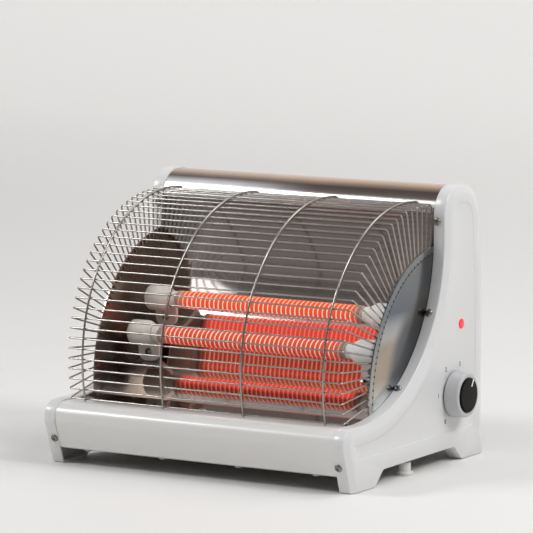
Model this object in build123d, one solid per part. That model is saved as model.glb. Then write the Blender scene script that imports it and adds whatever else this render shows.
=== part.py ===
from build123d import *
from math import cos, hypot, pi, radians, sin, sqrt, tan
import os

# Bar heater: two wound ceramic rods before a bright reflector, behind a wire guard, between two
# moulded end panels. Millimetres. X runs along the rods, the front faces -Y, Z is up.
# Everything is drawn about the guard: Y = 0 is the centre of the guard's curve, X = 0 the middle
# of the heater and Z = 0 the table. place() then puts the origin under the centre of the box.

# End panels
sideRoom = 16.0
rimBand = 13.0
bevelStep = 3.0
bevelInset = 9.0
panelWall = 2.5
faceWall = 3.5
fieldInset = 18.0
fieldDepth = 0.7
fieldFoot = 33.0

# Side outline of an end panel
toeRoom = 6.8
frontLean = 18.5
boxTop = 66.5
noseRadius = 17.0
sweepRoom = 3.3
neckFront = 20.5
topRoom = 17.4
frontCorner = 30.0
rearCorner = 38.0
shoulderRear = 93.2
waistRear = 102.8
waistHeight = 165.0
heelNeck = 100.5
heelHeight = 32.0
heelRear = 108.0
archHeight = 15.5
frontFootLength = 44.0
archFrontIn = 62.0
archRear = 37.0
rearFootFront = 54.5
footCorner = 4.0
archCorner = 7.0
waistRadius = 400.0
heelRadius = 70.0
leastBend = 1.0
rearSide = 4
firstFloorSide = 7

# Sheet metal
sheet = 0.8
frontSheet = 1.0
gap = 0.3
fitGap = 0.1
frontInset = 1.0
coverInset = 1.5
frontPanelDepth = 18.0
frontFlange = 14.0
lipDepth = 26.5
coverDepth = 84.5
lapWidth = 14.0
frontLapLength = 27.0
coverHole = 1.5
coverHoleDrop = 4.0
coverDrill = 8.0
coverHoleStep = 12.0
sheetScrewPitch = 92.0
sheetScrewLength = 6.0
frontScrewIn = 4.0
baseTop = 17.8
baseSheet = 1.0
baseFlange = 14.0
heelScrewUp = 3.7

# Side plates
plateArcRadius = 151.5
plateArcY = 37.0
plateArcDrop = 27.9
hemWidth = 8.0
plateBottom = 18.6
tabOut = 7.0
windowGap = 1.0

# Guard
guardRadius = 166.2
wireRadius = 1.1
wireCount = 31
wireFirst = -13.3
wireLast = 97.2
barStand = 1.17
weldLap = 6.0
archRadius = 1.25
archCount = 4
archIn = 22.0
archTopEnd = 99.4
archBottomEnd = -15.0
wireHoleGap = 0.35
wireBend = 3.0
archBottomHole = -13.9
archTopHole = 98.2

# Reflector
reflectorSheet = 0.6
reflectorTopY = 23.0
reflectorDrop = 27.5
reflectorRise = 81.6
reflectorSlope = 28.3
ledgeRearIn = 63.0
ledgeDrop = 2.4
reflectorBend = 130.0
ledgeFrontIn = 19.4
notchRoomIn = 5.0
notchRoomOut = 9.0
notchRoomBack = 5.0
ledgeBend = 8.0
ledgeKeep = 6.0
ledgeScrewIn = 33.0
ledgeScrewSide = 12.0
ledgeScrewMiddle = -16.0

# Heating rods
rodY = (-64.1, -29.8)
rodZ = (125.7, 158.8)
rodNames = ("lower", "upper")
coreRadius = 6.6
coreHalf = 146.0
windingWire = 1.5
windingLoops = 24
windingSeat = 0.15
leadBend = 3.2
leadStraight = 3.2
ringRadius = 8.6
ringOut = 8.0
ringIn = 3.0

# Ceramic holders
holderLength = 28.0
rodEndGap = 1.5
holderRadius = 13.5
holderRimRadius = 9.9
holderTaper = 5.5
mouthRadius = 9.2
mouthDepth = 6.0
endWall = 3.5
holderRound = 4.0
tabWidth = 26.0
tabBack = 14.5
tabThick = 4.5
tabScrewDrop = 21.5
tabRadius = 10.0
terminalRadius = 2.4
pinOut = 6.0

# Brackets
bracketWidth = 18.0
bracketSheet = 1.2
bracketFoot = 16.0
shelfBelow = 10.0
bracketAbove = 9.0
bracketEdge = 7.0

# Screws
screwHead = 4.2
screwHeadHeight = 2.3
screwRound = 1.4
screwRadius = 1.9
screwHole = 2.1
screwLength = 9.0
screwSlot = 0.9
screwIn = 4.3
drillDepth = 12.0
rimScrewZ = 27.5
sweepScrewAngles = (-59.0, -26.3)
neckScrewDrop = 35.5
tabLength = 10.0

# Knob and switch
knobY = 37.0
knobZ = 72.0
knobGap = 1.0
knobDepth = 15.5
knobRadius = 24.3
knobFrontRadius = 23.2
knobWall = 2.2
capRadius = 18.2
capThick = 3.0
capProud = 1.6
capRound = 0.8
pointerLength = 7.5
pointerWidth = 1.9
pointerAngle = 61.0
shaftRadius = 3.0
shaftFlat = 2.2
shaftSink = 10.2
flatStart = 1.0
boreEnd = 1.0
switchSide = 30.0
switchDepth = 17.0
bushRadius = 5.0
bushLength = 7.2
nutRadius = 7.5
nutThick = 2.2
fit = 0.06
knobRound = 1.4
hubRadius = 6.0
hubStart = 3.0
pointerEdge = 0.6
pointerDepth = 0.5
switchFrontGap = 0.2
switchRound = 2.0
switchPinPitch = 8.0
switchPin = 6.0
switchPinThin = 0.8
switchPinWide = 4.8

# Indicator lamp
lampY = 53.0
lampZ = 144.0
lensRadius = 5.4
lensProud = 1.4
lensRound = 1.0
lampRadius = 4.4
lampDepth = 14.0

# Tip-over switch
plungerIn = 6.6
plungerY = -52.0
footRadius = 9.0
footThick = 4.0
footRound = 1.2
stemRadius = 6.5
stemTop = 13.6
neckRadius = 3.0
collarRadius = 4.5
collarThick = 2.0
collarHeight = 26.0
plungerTop = 62.0
tipHouseWidth = 20.0
tipHouseTop = 66.0
tipHouseIn = 1.0
plungerRoom = 2.0
tipBore = 4.9
springTop = 58.0
springWire = 0.45
springTurns = 6

# Mains entry
glandIn = 39.0
glandZ = 46.0
glandRadius = 8.0
glandFlange = 10.5
glandBore = 3.6
glandReach = 8.0
glandThick = 1.8
blockStep = 30.0
blockY = 66.0
blockSize = (34.0, 20.0, 15.0)
blockPitch = 10.6
blockBore = 2.2
blockScrew = 1.8
blockScrewStep = 5.0
blockScrewDepth = 8.5

# Rear and base vents
ventLength = 26.0
ventWidth = 4.0
ventPitch = 12.0
ventCount = 19
ventRows = (70.0, 120.0, 170.0)
baseVentCount = 13
baseVentPitch = 18.0
baseVentRows = (-96.0, 20.0)

# Across the heater, everything follows the rods
holderOuter = coreHalf + rodEndGap + endWall
holderInner = holderOuter - holderLength
tabCentre = holderOuter - tabBack
ringFace = holderInner - ringOut
windingHalf = ringFace - fitGap - leadStraight - leadBend
halfGap = holderOuter + sideRoom
screwPlane = halfGap + screwIn
plungerX = halfGap + plungerIn
glandX = halfGap - glandIn
blockX = glandX - blockStep
archPitch = 2 * (halfGap - archIn) / (archCount - 1)
ledgeScrewX = (ledgeScrewSide - halfGap, ledgeScrewMiddle, halfGap - ledgeScrewSide)

# In front and above, everything follows the guard
toeFront = -(guardRadius + toeRoom)
sweepRadius = guardRadius + sweepRoom
guardHeight = boxTop + barStand - guardRadius * sin(radians(wireFirst))
plateArcZ = guardHeight - plateArcDrop
panelTop = guardHeight + guardRadius + topRoom
frontFootBack = toeFront + frontFootLength
archFront = toeFront + archFrontIn
frontPanelRear = toeFront + frontPanelDepth
frontLap = frontPanelRear + frontLapLength
frontScrewY = toeFront + frontScrewIn
topCoverLip = panelTop - lipDepth
topCoverRear = panelTop - coverDepth
neckScrewZ = panelTop - neckScrewDrop
reflectorTopZ = panelTop - reflectorDrop
ledgeRear = toeFront + ledgeRearIn
ledgeHeight = boxTop - ledgeDrop
ledgeFront = toeFront + ledgeFrontIn
ledgeScrewY = toeFront + ledgeScrewIn

panelFace = halfGap + rimBand + bevelStep
knobBack = panelFace + knobGap
knobFront = knobBack + knobDepth + capProud
sweepCentre = (neckFront - sweepRadius, boxTop + sweepRadius)
plateInner = halfGap - fitGap - sheet
wirePlane = plateInner - fitGap - wireRadius
leanTan = tan(radians(frontLean))
noseY = toeFront - boxTop * leanTan
noseBulge = noseRadius * (1 / cos(radians(frontLean)) - 1)
frontMost = toeFront - (boxTop - noseRadius) * leanTan + noseBulge
frontPanelBottom = baseTop + gap
reflectorUnder = ledgeHeight - reflectorSheet
archStand = wireRadius + archRadius + fitGap
panelInner = panelFace - faceWall
heelLean = (heelRear - heelNeck) / heelHeight
heelMost = heelRear - footCorner * (heelLean + hypot(1, heelLean) - 1)
middle = (-(knobFront - panelFace) / 2, -(heelMost + frontMost) / 2)


def corners(inset, floorInset):
    # Corner points of the side outline with their radii, drawn in by inset.
    raw = [
        (toeFront, 0.0, footCorner),
        (noseY, boxTop, noseRadius),
        (neckFront, boxTop, -sweepRadius),
        (neckFront, panelTop, frontCorner),
        (shoulderRear, panelTop, rearCorner),
        (waistRear, waistHeight, waistRadius),
        (heelNeck, heelHeight, -heelRadius),
        (heelRear, 0.0, footCorner),
        (rearFootFront, 0.0, footCorner),
        (archRear, archHeight, archCorner),
        (archFront, archHeight, archCorner),
        (frontFootBack, 0.0, footCorner),
    ]
    sides = []
    for i, (y, z, _) in enumerate(raw):
        nextY, nextZ, _ = raw[(i + 1) % len(raw)]
        run = hypot(nextY - y, nextZ - z)
        alongY, alongZ = (nextY - y) / run, (nextZ - z) / run
        shift = floorInset if i >= firstFloorSide else inset
        sides.append((y + alongZ * shift, z - alongY * shift, alongY, alongZ))
    drawn = []
    for i, (_, _, radius) in enumerate(raw):
        y1, z1, a1, b1 = sides[i - 1]
        y2, z2, a2, b2 = sides[i]
        t = ((y2 - y1) * b2 - (z2 - z1) * a2) / (a1 * b2 - b1 * a2)
        if i >= firstFloorSide:
            bend = radius
        elif radius > 0:
            bend = max(radius - inset, leastBend)
        else:
            bend = inset - radius
        drawn.append((y1 + a1 * t, z1 + b1 * t, bend))
    return drawn


def outline(x, inset=0.0, floorInset=0.0):
    # Face of the side outline in the plane X = x.
    drawn = corners(inset, floorInset)
    edge = FilletPolyline(*[(y, z) for y, z, _ in drawn], radius=[r for _, _, r in drawn], close=True)
    return Plane.YZ.offset(x) * make_face(edge)


def block(xRange, yRange, zRange):
    low, high = zip(xRange, yRange, zRange)
    size = [b - a for a, b in zip(low, high)]
    centre = [(a + b) / 2 for a, b in zip(low, high)]
    return Pos(*centre) * Box(*size)


def rod(start, end, radius):
    # Round bar from one point to another.
    start, end = Vector(*start), Vector(*end)
    along = end - start
    return Plane(origin=start, z_dir=along) * extrude(Circle(radius), along.length)


def shell(outer, inner, xHalf, yRange, zRange):
    # Sheet that follows the side outline between two insets, cut to a box.
    ring = outline(-xHalf, outer, 0.0) - outline(-xHalf, inner, 0.0)
    return extrude(ring, 2 * xHalf) & block((-xHalf, xHalf), yRange, zRange)


def leftHand(part):
    return mirror(part, about=Plane.YZ)


def seat(x, y, z, normalY, normalZ):
    # Plane on a surface at a screw, with its z axis pointing out of the surface.
    return Plane(origin=(x, y, z), x_dir=(1, 0, 0), z_dir=(0, normalY, normalZ))


def rimSeats(side=1):
    # Screw seats on the front rim of an end panel, from the toe to the neck.
    lean = radians(frontLean)
    x = side * screwPlane
    seats = [seat(x, toeFront - rimScrewZ * tan(lean), rimScrewZ, -cos(lean), -sin(lean))]
    for angle in sweepScrewAngles:
        outY, outZ = cos(radians(angle)), sin(radians(angle))
        y, z = sweepCentre[0] + sweepRadius * outY, sweepCentre[1] + sweepRadius * outZ
        seats.append(seat(x, y, z, -outY, -outZ))
    seats.append(seat(x, neckFront, neckScrewZ, -1, 0))
    return seats


def screw(plane, length=screwLength):
    # Pan-head screw standing on a seat.
    head = Pos(0, 0, fitGap) * extrude(Circle(screwHead), screwHeadHeight)
    head = fillet(head.edges().sort_by(Axis.Z)[-1], screwRound)
    head -= Pos(0, 0, screwHeadHeight) * Box(3 * screwHead, screwSlot, screwSlot)
    shank = Pos(0, 0, -length) * extrude(Circle(screwRadius), length + screwHeadHeight / 2)
    return plane * (head + shank)


def drill(part, seats, radius=screwHole, depth=drillDepth):
    for plane in seats:
        part -= plane * Pos(0, 0, -depth / 2) * Cylinder(radius, depth * 1.5)
    return part


def endPanel():
    # Moulded end panel of the right side, hollow towards the heater.
    rimFace = halfGap + rimBand
    body = extrude(outline(halfGap), rimBand)
    body += loft([outline(rimFace), outline(panelFace, bevelInset, 0.0)], ruled=True)
    body -= extrude(outline(halfGap, panelWall, panelWall), rimBand + bevelStep - faceWall)
    field = outline(panelFace - fieldDepth, fieldInset, 0.0)
    body -= extrude(field, 2 * fieldDepth) & block((0, 2 * panelFace), (toeFront, heelRear), (fieldFoot, panelTop))
    return drill(body, rimSeats())


def rightEndPanel():
    body = endPanel()
    across = 4 * rimBand
    body -= Pos(panelFace, knobY, knobZ) * Rot(0, 90, 0) * Cylinder(bushRadius + fitGap, across)
    body -= Pos(panelFace, lampY, lampZ) * Rot(0, 90, 0) * Cylinder(lampRadius + fitGap, across)
    body -= Pos(plungerX, plungerY, archHeight) * Cylinder(neckRadius + fit, 4 * panelWall)
    return body


def plateTabs(side=1):
    # Lugs of a side plate, folded out behind the rim for its screws.
    reach = screwPlane - plateInner
    under = panelWall + fitGap
    tabs = []
    for plane in rimSeats(side):
        lug = Pos(side * (tabOut - reach) / 2, 0, -under - sheet / 2) * Box(reach + tabOut, tabLength, sheet)
        tabs.append(plane * lug)
    return tabs


def sidePlate():
    # Bright sheet inside the right end panel, with its curved front edge hemmed.
    under = panelWall + fitGap
    arc = Plane.YZ.offset(plateInner) * Pos(plateArcY, plateArcZ) * Circle(plateArcRadius)
    sweep = Plane.YZ.offset(plateInner) * Pos(*sweepCentre) * Circle(sweepRadius + under + sheet)
    flat = extrude((arc & sweep) + outline(plateInner, under, under), sheet)
    flat &= block((0, panelFace), (frontMost, heelRear), (plateBottom, panelTop))
    x = plateInner + sheet
    hem = Plane.YZ.offset(x) * Pos(plateArcY, plateArcZ) * (Circle(plateArcRadius) - Circle(plateArcRadius - hemWidth))
    clear = Plane.YZ.offset(x) * Pos(*sweepCentre) * Circle(sweepRadius - gap)
    plate = flat + extrude(hem & clear, sheet)
    for lug in plateTabs():
        plate += lug
    return drill(plate, rimSeats())


def rightSidePlate():
    window = switchSide / 2 + windowGap
    plate = sidePlate()
    plate -= block((plateInner - sheet, halfGap), (knobY - window, knobY + window), (knobZ - window, knobZ + window))
    return plate


def frontPanel():
    # Painted front sheet: leaning face, rolled top, step down to the flange under the reflector.
    half = halfGap - fitGap
    inner = frontInset + frontSheet
    body = shell(frontInset, inner, half, (2 * frontMost, frontPanelRear), (frontPanelBottom, panelTop))
    solid = extrude(outline(-half, frontInset, 0.0), 2 * half)
    flangeHalf = plateInner - gap
    foot = (-flangeHalf, flangeHalf), (frontMost, frontMost + frontFlange), (frontPanelBottom, frontPanelBottom + frontSheet)
    body += block(*foot) & solid
    top = boxTop - frontInset
    low = reflectorUnder - fitGap - frontSheet
    body += block((-flangeHalf, flangeHalf), (frontPanelRear - frontSheet, frontPanelRear), (low, top))
    body += block((-flangeHalf, flangeHalf), (frontPanelRear - frontSheet, frontLap), (low, low + frontSheet))
    body = drill(body, ledgeSeats())
    body = drill(body, frontFootSeats())
    for x in archPlaces():
        y, z = guardPoint(guardRadius + archStand, archBottomHole)
        body -= Pos(x, y, z) * Cylinder(archRadius + wireHoleGap, frontSheet * 6)
    return body


def topCover():
    # Bright sheet bent over the top, from its lip above the guard to the lap behind.
    half = halfGap - fitGap
    inner = coverInset + sheet
    front = shell(coverInset, inner, half, (frontMost, shoulderRear / 2), (topCoverLip, panelTop))
    rear = shell(coverInset, inner, half, (shoulderRear / 2, heelRear), (topCoverRear, panelTop))
    body = drill(front + rear, lapSeats())
    for x in archPlaces():
        y, z = guardPoint(guardRadius + archStand, archTopHole)
        body -= rod((x, y - coverDrill, z), (x, y + coverDrill, z), archRadius + wireHoleGap)
        x, z = x + coverHoleStep, z - coverHoleDrop
        body -= rod((x, y - coverDrill, z), (x, y + coverDrill, z), coverHole)
    return body


def rearCover():
    # Painted rear sheet with rows of vent slots.
    half = plateInner - gap
    outer = coverInset + sheet + fitGap
    body = shell(outer, outer + sheet, half, (shoulderRear / 2, heelRear), (baseTop + gap, topCoverRear + lapWidth))
    slot = Rot(90, 0, 0) * extrude(SlotOverall(ventLength, ventWidth, rotation=90), 3 * lapWidth, both=True)
    for z in ventRows:
        for x in spread(ventCount, ventPitch):
            body -= Pos(x, waistRear, z) * slot
    body = drill(body, lapSeats())
    body = drill(body, heelSeats())
    body -= rod((glandX, shoulderRear / 2, glandZ), (glandX, heelRear, glandZ), glandRadius + fitGap)
    return body


def spread(count, pitch):
    # Places of a row centred on the middle.
    return [(i - (count - 1) / 2) * pitch for i in range(count)]


def basePlate():
    # Steel floor with a flange up behind and one at each end.
    half = plateInner - gap
    inset = coverInset + 2 * sheet + 2 * fitGap
    low = baseTop - baseSheet
    high = baseTop + baseFlange
    solid = extrude(outline(-half, inset, 0.0), 2 * half)
    body = block((-half, half), (frontMost, heelRear), (low, baseTop)) & solid
    body += shell(inset, inset + baseSheet, half, (shoulderRear / 2, heelRear), (low, high))
    for side in (-1, 1):
        edge = sorted((side * (half - baseSheet), side * half))
        body += block(edge, (archFront, archRear), (low, high))
    slot = extrude(SlotOverall(ventLength, ventWidth, rotation=90), 2 * baseTop)
    for y in baseVentRows:
        for x in spread(baseVentCount, baseVentPitch):
            body -= Pos(x, y, 0) * slot
    body = drill(body, heelSeats())
    body = drill(body, frontFootSeats())
    return drill(body, bracketSeats())


def reflectorProfile():
    rise, slope = radians(reflectorRise), radians(reflectorSlope)
    topY, topZ = reflectorTopY, reflectorTopZ
    reach = ((topZ - ledgeHeight) * cos(rise) - (topY - ledgeRear) * sin(rise)) / sin(slope - rise)
    bend = (ledgeRear + reach * cos(slope), ledgeHeight + reach * sin(slope))
    return FilletPolyline(
        (topY, topZ), bend, (ledgeRear, ledgeHeight), (ledgeFront, ledgeHeight),
        radius=[reflectorBend, ledgeBend],
    )


def reflector():
    # Polished sheet: steep back, long bend, slope to the flat ledge, notched round the brackets.
    half = plateInner - gap
    line = reflectorProfile()
    strip = offset(line, reflectorSheet, side=Side.LEFT)
    body = extrude(Plane.YZ.offset(-half) * make_face(strip), 2 * half)
    rear = stripFront(rodY[1]) + notchRoomBack
    for side in (-1, 1):
        across = sorted((side * (holderInner - notchRoomIn), side * (holderOuter + notchRoomOut)))
        body -= block(across, (ledgeRear + ledgeKeep, rear), (0, panelTop))
    return drill(body, ledgeSeats())


def guardPoint(radius, angle):
    # Point (y, z) on a curve about the guard's centre, at an angle above the horizontal.
    turn = radians(angle)
    return -radius * cos(turn), guardHeight + radius * sin(turn)


def hemReach(angle):
    # Distance from the guard's centre to the side plate's curved edge.
    turn = radians(angle)
    alongY, alongZ = -cos(turn), sin(turn)
    offY, offZ = -plateArcY, guardHeight - plateArcZ
    half = alongY * offY + alongZ * offZ
    return -half + sqrt(half * half - offY * offY - offZ * offZ + plateArcRadius * plateArcRadius)


def guardWires():
    # Bars along X, bent in at both ends to the plates' hemmed edges.
    bars = []
    for i in range(wireCount):
        angle = wireFirst + (wireLast - wireFirst) * i / (wireCount - 1)
        outY, outZ = guardPoint(guardRadius, angle)
        inY, inZ = guardPoint(hemReach(angle) - weldLap, angle)
        path = FilletPolyline(
            (-wirePlane, inY, inZ), (-wirePlane, outY, outZ), (wirePlane, outY, outZ), (wirePlane, inY, inZ),
            radius=wireBend,
        )
        bars.append(sweep(Plane(origin=path @ 0, z_dir=path % 0) * Circle(wireRadius), path=path))
    return Compound(children=bars)


def archPlaces():
    return spread(archCount, archPitch)


def guardArches():
    # Four hoops across the bars, hooked into the top cover and the front panel.
    hoops = []
    radius = guardRadius + archStand
    for x in archPlaces():
        ends = [guardPoint(radius, angle) for angle in (archBottomEnd, (archBottomEnd + archTopEnd) / 2, archTopEnd)]
        path = ThreePointArc(*[(x, y, z) for y, z in ends])
        hoops.append(sweep(Plane(origin=path @ 0, z_dir=path % 0) * Circle(archRadius), path=path))
    return Compound(children=hoops)


def core(y, z):
    # Ceramic rod with a ring near each end that the wire is wound between.
    body = rod((-coreHalf, y, z), (coreHalf, y, z), coreRadius)
    for side in (-1, 1):
        body += rod((side * ringFace, y, z), (side * (holderInner + ringIn), y, z), ringRadius)
    return body


def biarc(start, startWay, end, endWay):
    # Two arcs that leave and arrive along given directions.
    span = end - start
    ways = startWay + endWay
    a = ways.dot(ways) - 4
    b = -2 * span.dot(ways)
    c = span.dot(span)
    reach = (-b - sqrt(b * b - 4 * a * c)) / (2 * a)
    middle = (start + startWay * reach + end - endWay * reach) * 0.5
    middleWay = (end - endWay * reach - start - startWay * reach).normalized()
    return [
        Edge.make_tangent_arc(start, startWay, middle),
        Edge.make_tangent_arc(middle, middleWay, end),
    ]


def winding(y, z):
    # Heating wire wound on the rod, both ends run straight against the rings.
    radius = coreRadius + windingSeat + windingWire
    pitch = 2 * windingHalf / windingLoops
    climb = pitch / (2 * pi)

    def point(turn):
        return Vector(-windingHalf + climb * turn, y + radius * cos(turn), z + radius * sin(turn))

    def way(turn):
        return Vector(climb, -radius * sin(turn), radius * cos(turn)).normalized()

    turns = [i * pi for i in range(2 * windingLoops + 1)]
    edges = []
    for a, b in zip(turns, turns[1:]):
        edges += biarc(point(a), way(a), point(b), way(b))
    first, last = point(turns[0]), point(turns[-1])
    outward = Vector(1, 0, 0)
    seatX = ringFace - fitGap
    endIn, arcIn = leadArc(first, way(turns[0]) * -1, outward * -1)
    endOut, arcOut = leadArc(last, way(turns[-1]), outward)
    leadIn = Edge.make_line(Vector(-seatX, endIn.Y, endIn.Z), endIn)
    leadOut = Edge.make_line(endOut, Vector(seatX, endOut.Y, endOut.Z))
    path = Wire([leadIn, arcIn, *edges, arcOut, leadOut])
    print("winding: least gap to itself", round(selfGap(path, windingWire, 3 * radius), 2), "mm")
    return sweep(Plane(origin=path @ 0, z_dir=path % 0) * Circle(windingWire), path=path)


def leadArc(start, startWay, endWay):
    # Quarter arc that turns a lead from one direction into another, and where it ends.
    toSide = (endWay - startWay * startWay.dot(endWay)).normalized()
    onward = (startWay - endWay * startWay.dot(endWay)).normalized()
    end = start + (toSide + onward) * leadBend
    if endWay.X < 0:
        return end, Edge.make_tangent_arc(end, endWay * -1, start)
    return end, Edge.make_tangent_arc(start, startWay, end)


def selfGap(path, wire, near):
    # Least clear distance between stretches of one tube further apart along it than near.
    steps = round(path.length)
    spots = [path @ (i / steps) for i in range(steps + 1)]
    skip = round(near)
    least = min(
        (spots[i] - spots[j]).length
        for i in range(len(spots))
        for j in range(i + skip, min(i + 4 * skip, len(spots)))
    )
    return least - 2 * wire


def holder(y, z):
    # Right-hand ceramic holder: cup that tapers to its open mouth, and the screw lug behind it.
    axis = Plane(origin=(holderInner, y, z), x_dir=(0, 1, 0), z_dir=(1, 0, 0))
    length = holderOuter - holderInner
    cup = Pos(0, 0, holderTaper) * extrude(Circle(holderRadius), length - holderTaper)
    cup = fillet(cup.edges().sort_by(Axis.Z)[-1], holderRound)
    cup += loft([Circle(holderRimRadius), Pos(0, 0, holderTaper) * Circle(holderRadius)], ruled=True)
    cup = axis * cup
    lugTop, lugBottom = z, z - tabScrewDrop - tabRadius
    back = y + holderRadius
    lug = block((tabCentre - tabWidth / 2, tabCentre + tabWidth / 2), (back - tabThick, back), (lugBottom, lugTop))
    lug = fillet(lug.edges().filter_by(Axis.Y).sort_by(Axis.Z)[:2], tabRadius)
    body = cup + lug
    body -= axis * extrude(Circle(mouthRadius), mouthDepth)
    body -= axis * extrude(Circle(coreRadius + windingSeat), length - endWall)
    body -= axis * extrude(Circle(terminalRadius + fitGap), length)
    return drill(body, [holderSeat(y, z)], depth=2 * tabThick)


def holderSeat(y, z, side=1):
    return seat(side * tabCentre, y + holderRadius - tabThick, z - tabScrewDrop, -1, 0)


def stripFront(y):
    return y + holderRadius + fitGap


def bracket():
    # Right-hand stepped strip: foot, post behind the lower holder, shelf, post behind the upper one.
    lowY, highY = stripFront(rodY[0]), stripFront(rodY[1])
    shelf = rodZ[0] - shelfBelow
    top = rodZ[1] - tabScrewDrop + bracketAbove
    foot = baseTop + fitGap
    across = (tabCentre - bracketWidth / 2, tabCentre + bracketWidth / 2)
    body = block(across, (lowY, lowY + bracketFoot), (foot, foot + bracketSheet))
    body += block(across, (lowY, lowY + bracketSheet), (foot, shelf))
    body += block(across, (lowY, highY + bracketSheet), (shelf - bracketSheet, shelf))
    body += block(across, (highY, highY + bracketSheet), (shelf - bracketSheet, top))
    body = drill(body, [holderSeat(y, z) for y, z in zip(rodY, rodZ)])
    return drill(body, bracketSeats())


def bracketSeats():
    y = stripFront(rodY[0]) + bracketFoot - bracketEdge
    return [Plane(origin=(side * tabCentre, y, baseTop + fitGap + bracketSheet)) for side in (-1, 1)]


def ledgeSeats():
    return [Plane(origin=(x, ledgeScrewY, ledgeHeight)) for x in ledgeScrewX]


def frontFootSeats():
    low = baseTop - baseSheet
    return [Plane(origin=(x, frontScrewY, low), x_dir=(1, 0, 0), z_dir=(0, 0, -1)) for x in spread(4, sheetScrewPitch)]


def rearPoint(z, inset):
    # Rear surface of the outline at a height, with its outward direction.
    rear = corners(inset, 0.0)[rearSide:firstFloorSide + 1]
    for (y1, z1, _), (y2, z2, _) in zip(rear, rear[1:]):
        if z >= z2:
            break
    run = hypot(y2 - y1, z2 - z1)
    return y1 + (y2 - y1) * (z - z1) / (z2 - z1), -(z2 - z1) / run, (y2 - y1) / run


def lapSeats():
    z = topCoverRear + lapWidth / 2
    y, outY, outZ = rearPoint(z, coverInset)
    return [seat(x, y, z, outY, outZ) for x in spread(4, sheetScrewPitch)]


def heelSeats():
    z = baseTop + heelScrewUp
    y, outY, outZ = rearPoint(z, coverInset + sheet + fitGap)
    return [seat(x, y, z, outY, outZ) for x in spread(4, sheetScrewPitch)]


def knobPlane(x):
    return Plane(origin=(x, knobY, knobZ), x_dir=(0, 1, 0), z_dir=(1, 0, 0))


def knobBody():
    # White knob: skirt, flat ring in front, hub on the shaft.
    outer = Polyline((0, 0), (knobRadius, 0), (knobFrontRadius, knobDepth), (0, knobDepth), close=True)
    body = revolve(Plane.XZ * make_face(outer), Axis.Z)
    body = fillet(body.edges().filter_by(GeomType.CIRCLE).sort_by(Axis.Z)[-1], knobRound)
    floor = knobDepth - capThick - knobWall + capProud
    inner = Polyline((0, -1), (knobRadius - knobWall, -1), (knobFrontRadius - knobWall, floor), (0, floor), close=True)
    hollow = revolve(Plane.XZ * make_face(inner), Axis.Z)
    body -= hollow - Pos(0, 0, hubStart) * extrude(Circle(hubRadius), knobDepth)
    body -= Pos(0, 0, knobDepth - capThick + capProud) * extrude(Circle(capRadius + fitGap), knobDepth)
    bore = Circle(shaftRadius + fit) - Pos(0, -shaftFlat - fit - shaftRadius) * Rectangle(4 * shaftRadius, 2 * shaftRadius)
    body -= extrude(bore, floor)
    return knobPlane(knobBack) * body


def knobCap():
    # Black disc let into the knob, grooved for its pointer line.
    low = knobDepth - capThick + capProud
    disc = Pos(0, 0, low) * extrude(Circle(capRadius), capThick)
    disc = fillet(disc.edges().sort_by(Axis.Z)[-1], capRound)
    disc -= pointerBar(fitGap / 2)
    return knobPlane(knobBack) * disc


def pointerBar(grow=0.0):
    outer = capRadius - capRound - pointerEdge
    middle = outer - pointerLength / 2
    bar = Box(pointerLength + 2 * grow, pointerWidth + 2 * grow, 2 * pointerDepth)
    return Rot(0, 0, pointerAngle) * Pos(middle, 0, knobDepth + capProud) * bar


def knobPointer():
    top = knobDepth + capProud
    bar = pointerBar() & Pos(0, 0, top - pointerDepth / 2) * Box(4 * capRadius, 4 * capRadius, pointerDepth)
    return knobPlane(knobBack) * bar


def knobShaft():
    # Shaft of the rotary switch, flattened where the knob grips it.
    back = panelInner - switchFrontGap - shaftSink
    end = knobBack + knobDepth - capThick - knobWall + capProud - fitGap
    bar = rod((back, knobY, knobZ), (end, knobY, knobZ), shaftRadius)
    cut = block(
        (knobBack + flatStart, end + boreEnd),
        (knobY - 2 * shaftRadius, knobY + 2 * shaftRadius),
        (knobZ - 3 * shaftRadius, knobZ - shaftFlat),
    )
    return bar - cut


def switchBody():
    # Rotary switch behind the panel with its threaded neck through the wall.
    front = panelInner - switchFrontGap
    half = switchSide / 2
    body = block((front - switchDepth, front), (knobY - half, knobY + half), (knobZ - half, knobZ + half))
    body = fillet(body.edges().filter_by(Axis.X), switchRound)
    body += rod((front, knobY, knobZ), (front + bushLength, knobY, knobZ), bushRadius)
    body -= rod((front - shaftSink - boreEnd, knobY, knobZ), (panelFace + knobDepth, knobY, knobZ), shaftRadius + fit)
    for y in (-1, 0, 1):
        for z in (-1, 1):
            spot = Pos(front - switchDepth - switchPin / 2, knobY + y * switchPinPitch, knobZ + z * switchPinPitch)
            body += spot * Box(switchPin, switchPinThin, switchPinWide)
    return body


def switchNut():
    face = panelFace - fieldDepth + fitGap
    hexagon = RegularPolygon(nutRadius, 6) - Circle(bushRadius + fitGap)
    return knobPlane(face) * extrude(hexagon, nutThick)


def lampLens():
    face = panelFace - fieldDepth
    disc = extrude(Circle(lensRadius), lensProud)
    disc = fillet(disc.edges().sort_by(Axis.Z)[-1], lensRound)
    return Plane(origin=(face + fitGap / 2, lampY, lampZ), z_dir=(1, 0, 0)) * disc


def lampBody():
    face = panelFace - fieldDepth
    return rod((face - lampDepth, lampY, lampZ), (face, lampY, lampZ), lampRadius)


def plunger():
    # Tip-over plunger: foot, stem, neck through the arch wall and a collar for the spring.
    at = Pos(plungerX, plungerY, 0)
    body = extrude(Circle(footRadius), footThick)
    body = fillet(body.edges().sort_by(Axis.Z)[-1], footRound)
    body += extrude(Circle(stemRadius), stemTop)
    body += extrude(Circle(neckRadius), plungerTop)
    body += Pos(0, 0, collarHeight) * extrude(Circle(collarRadius), collarThick)
    return at * body


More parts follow.
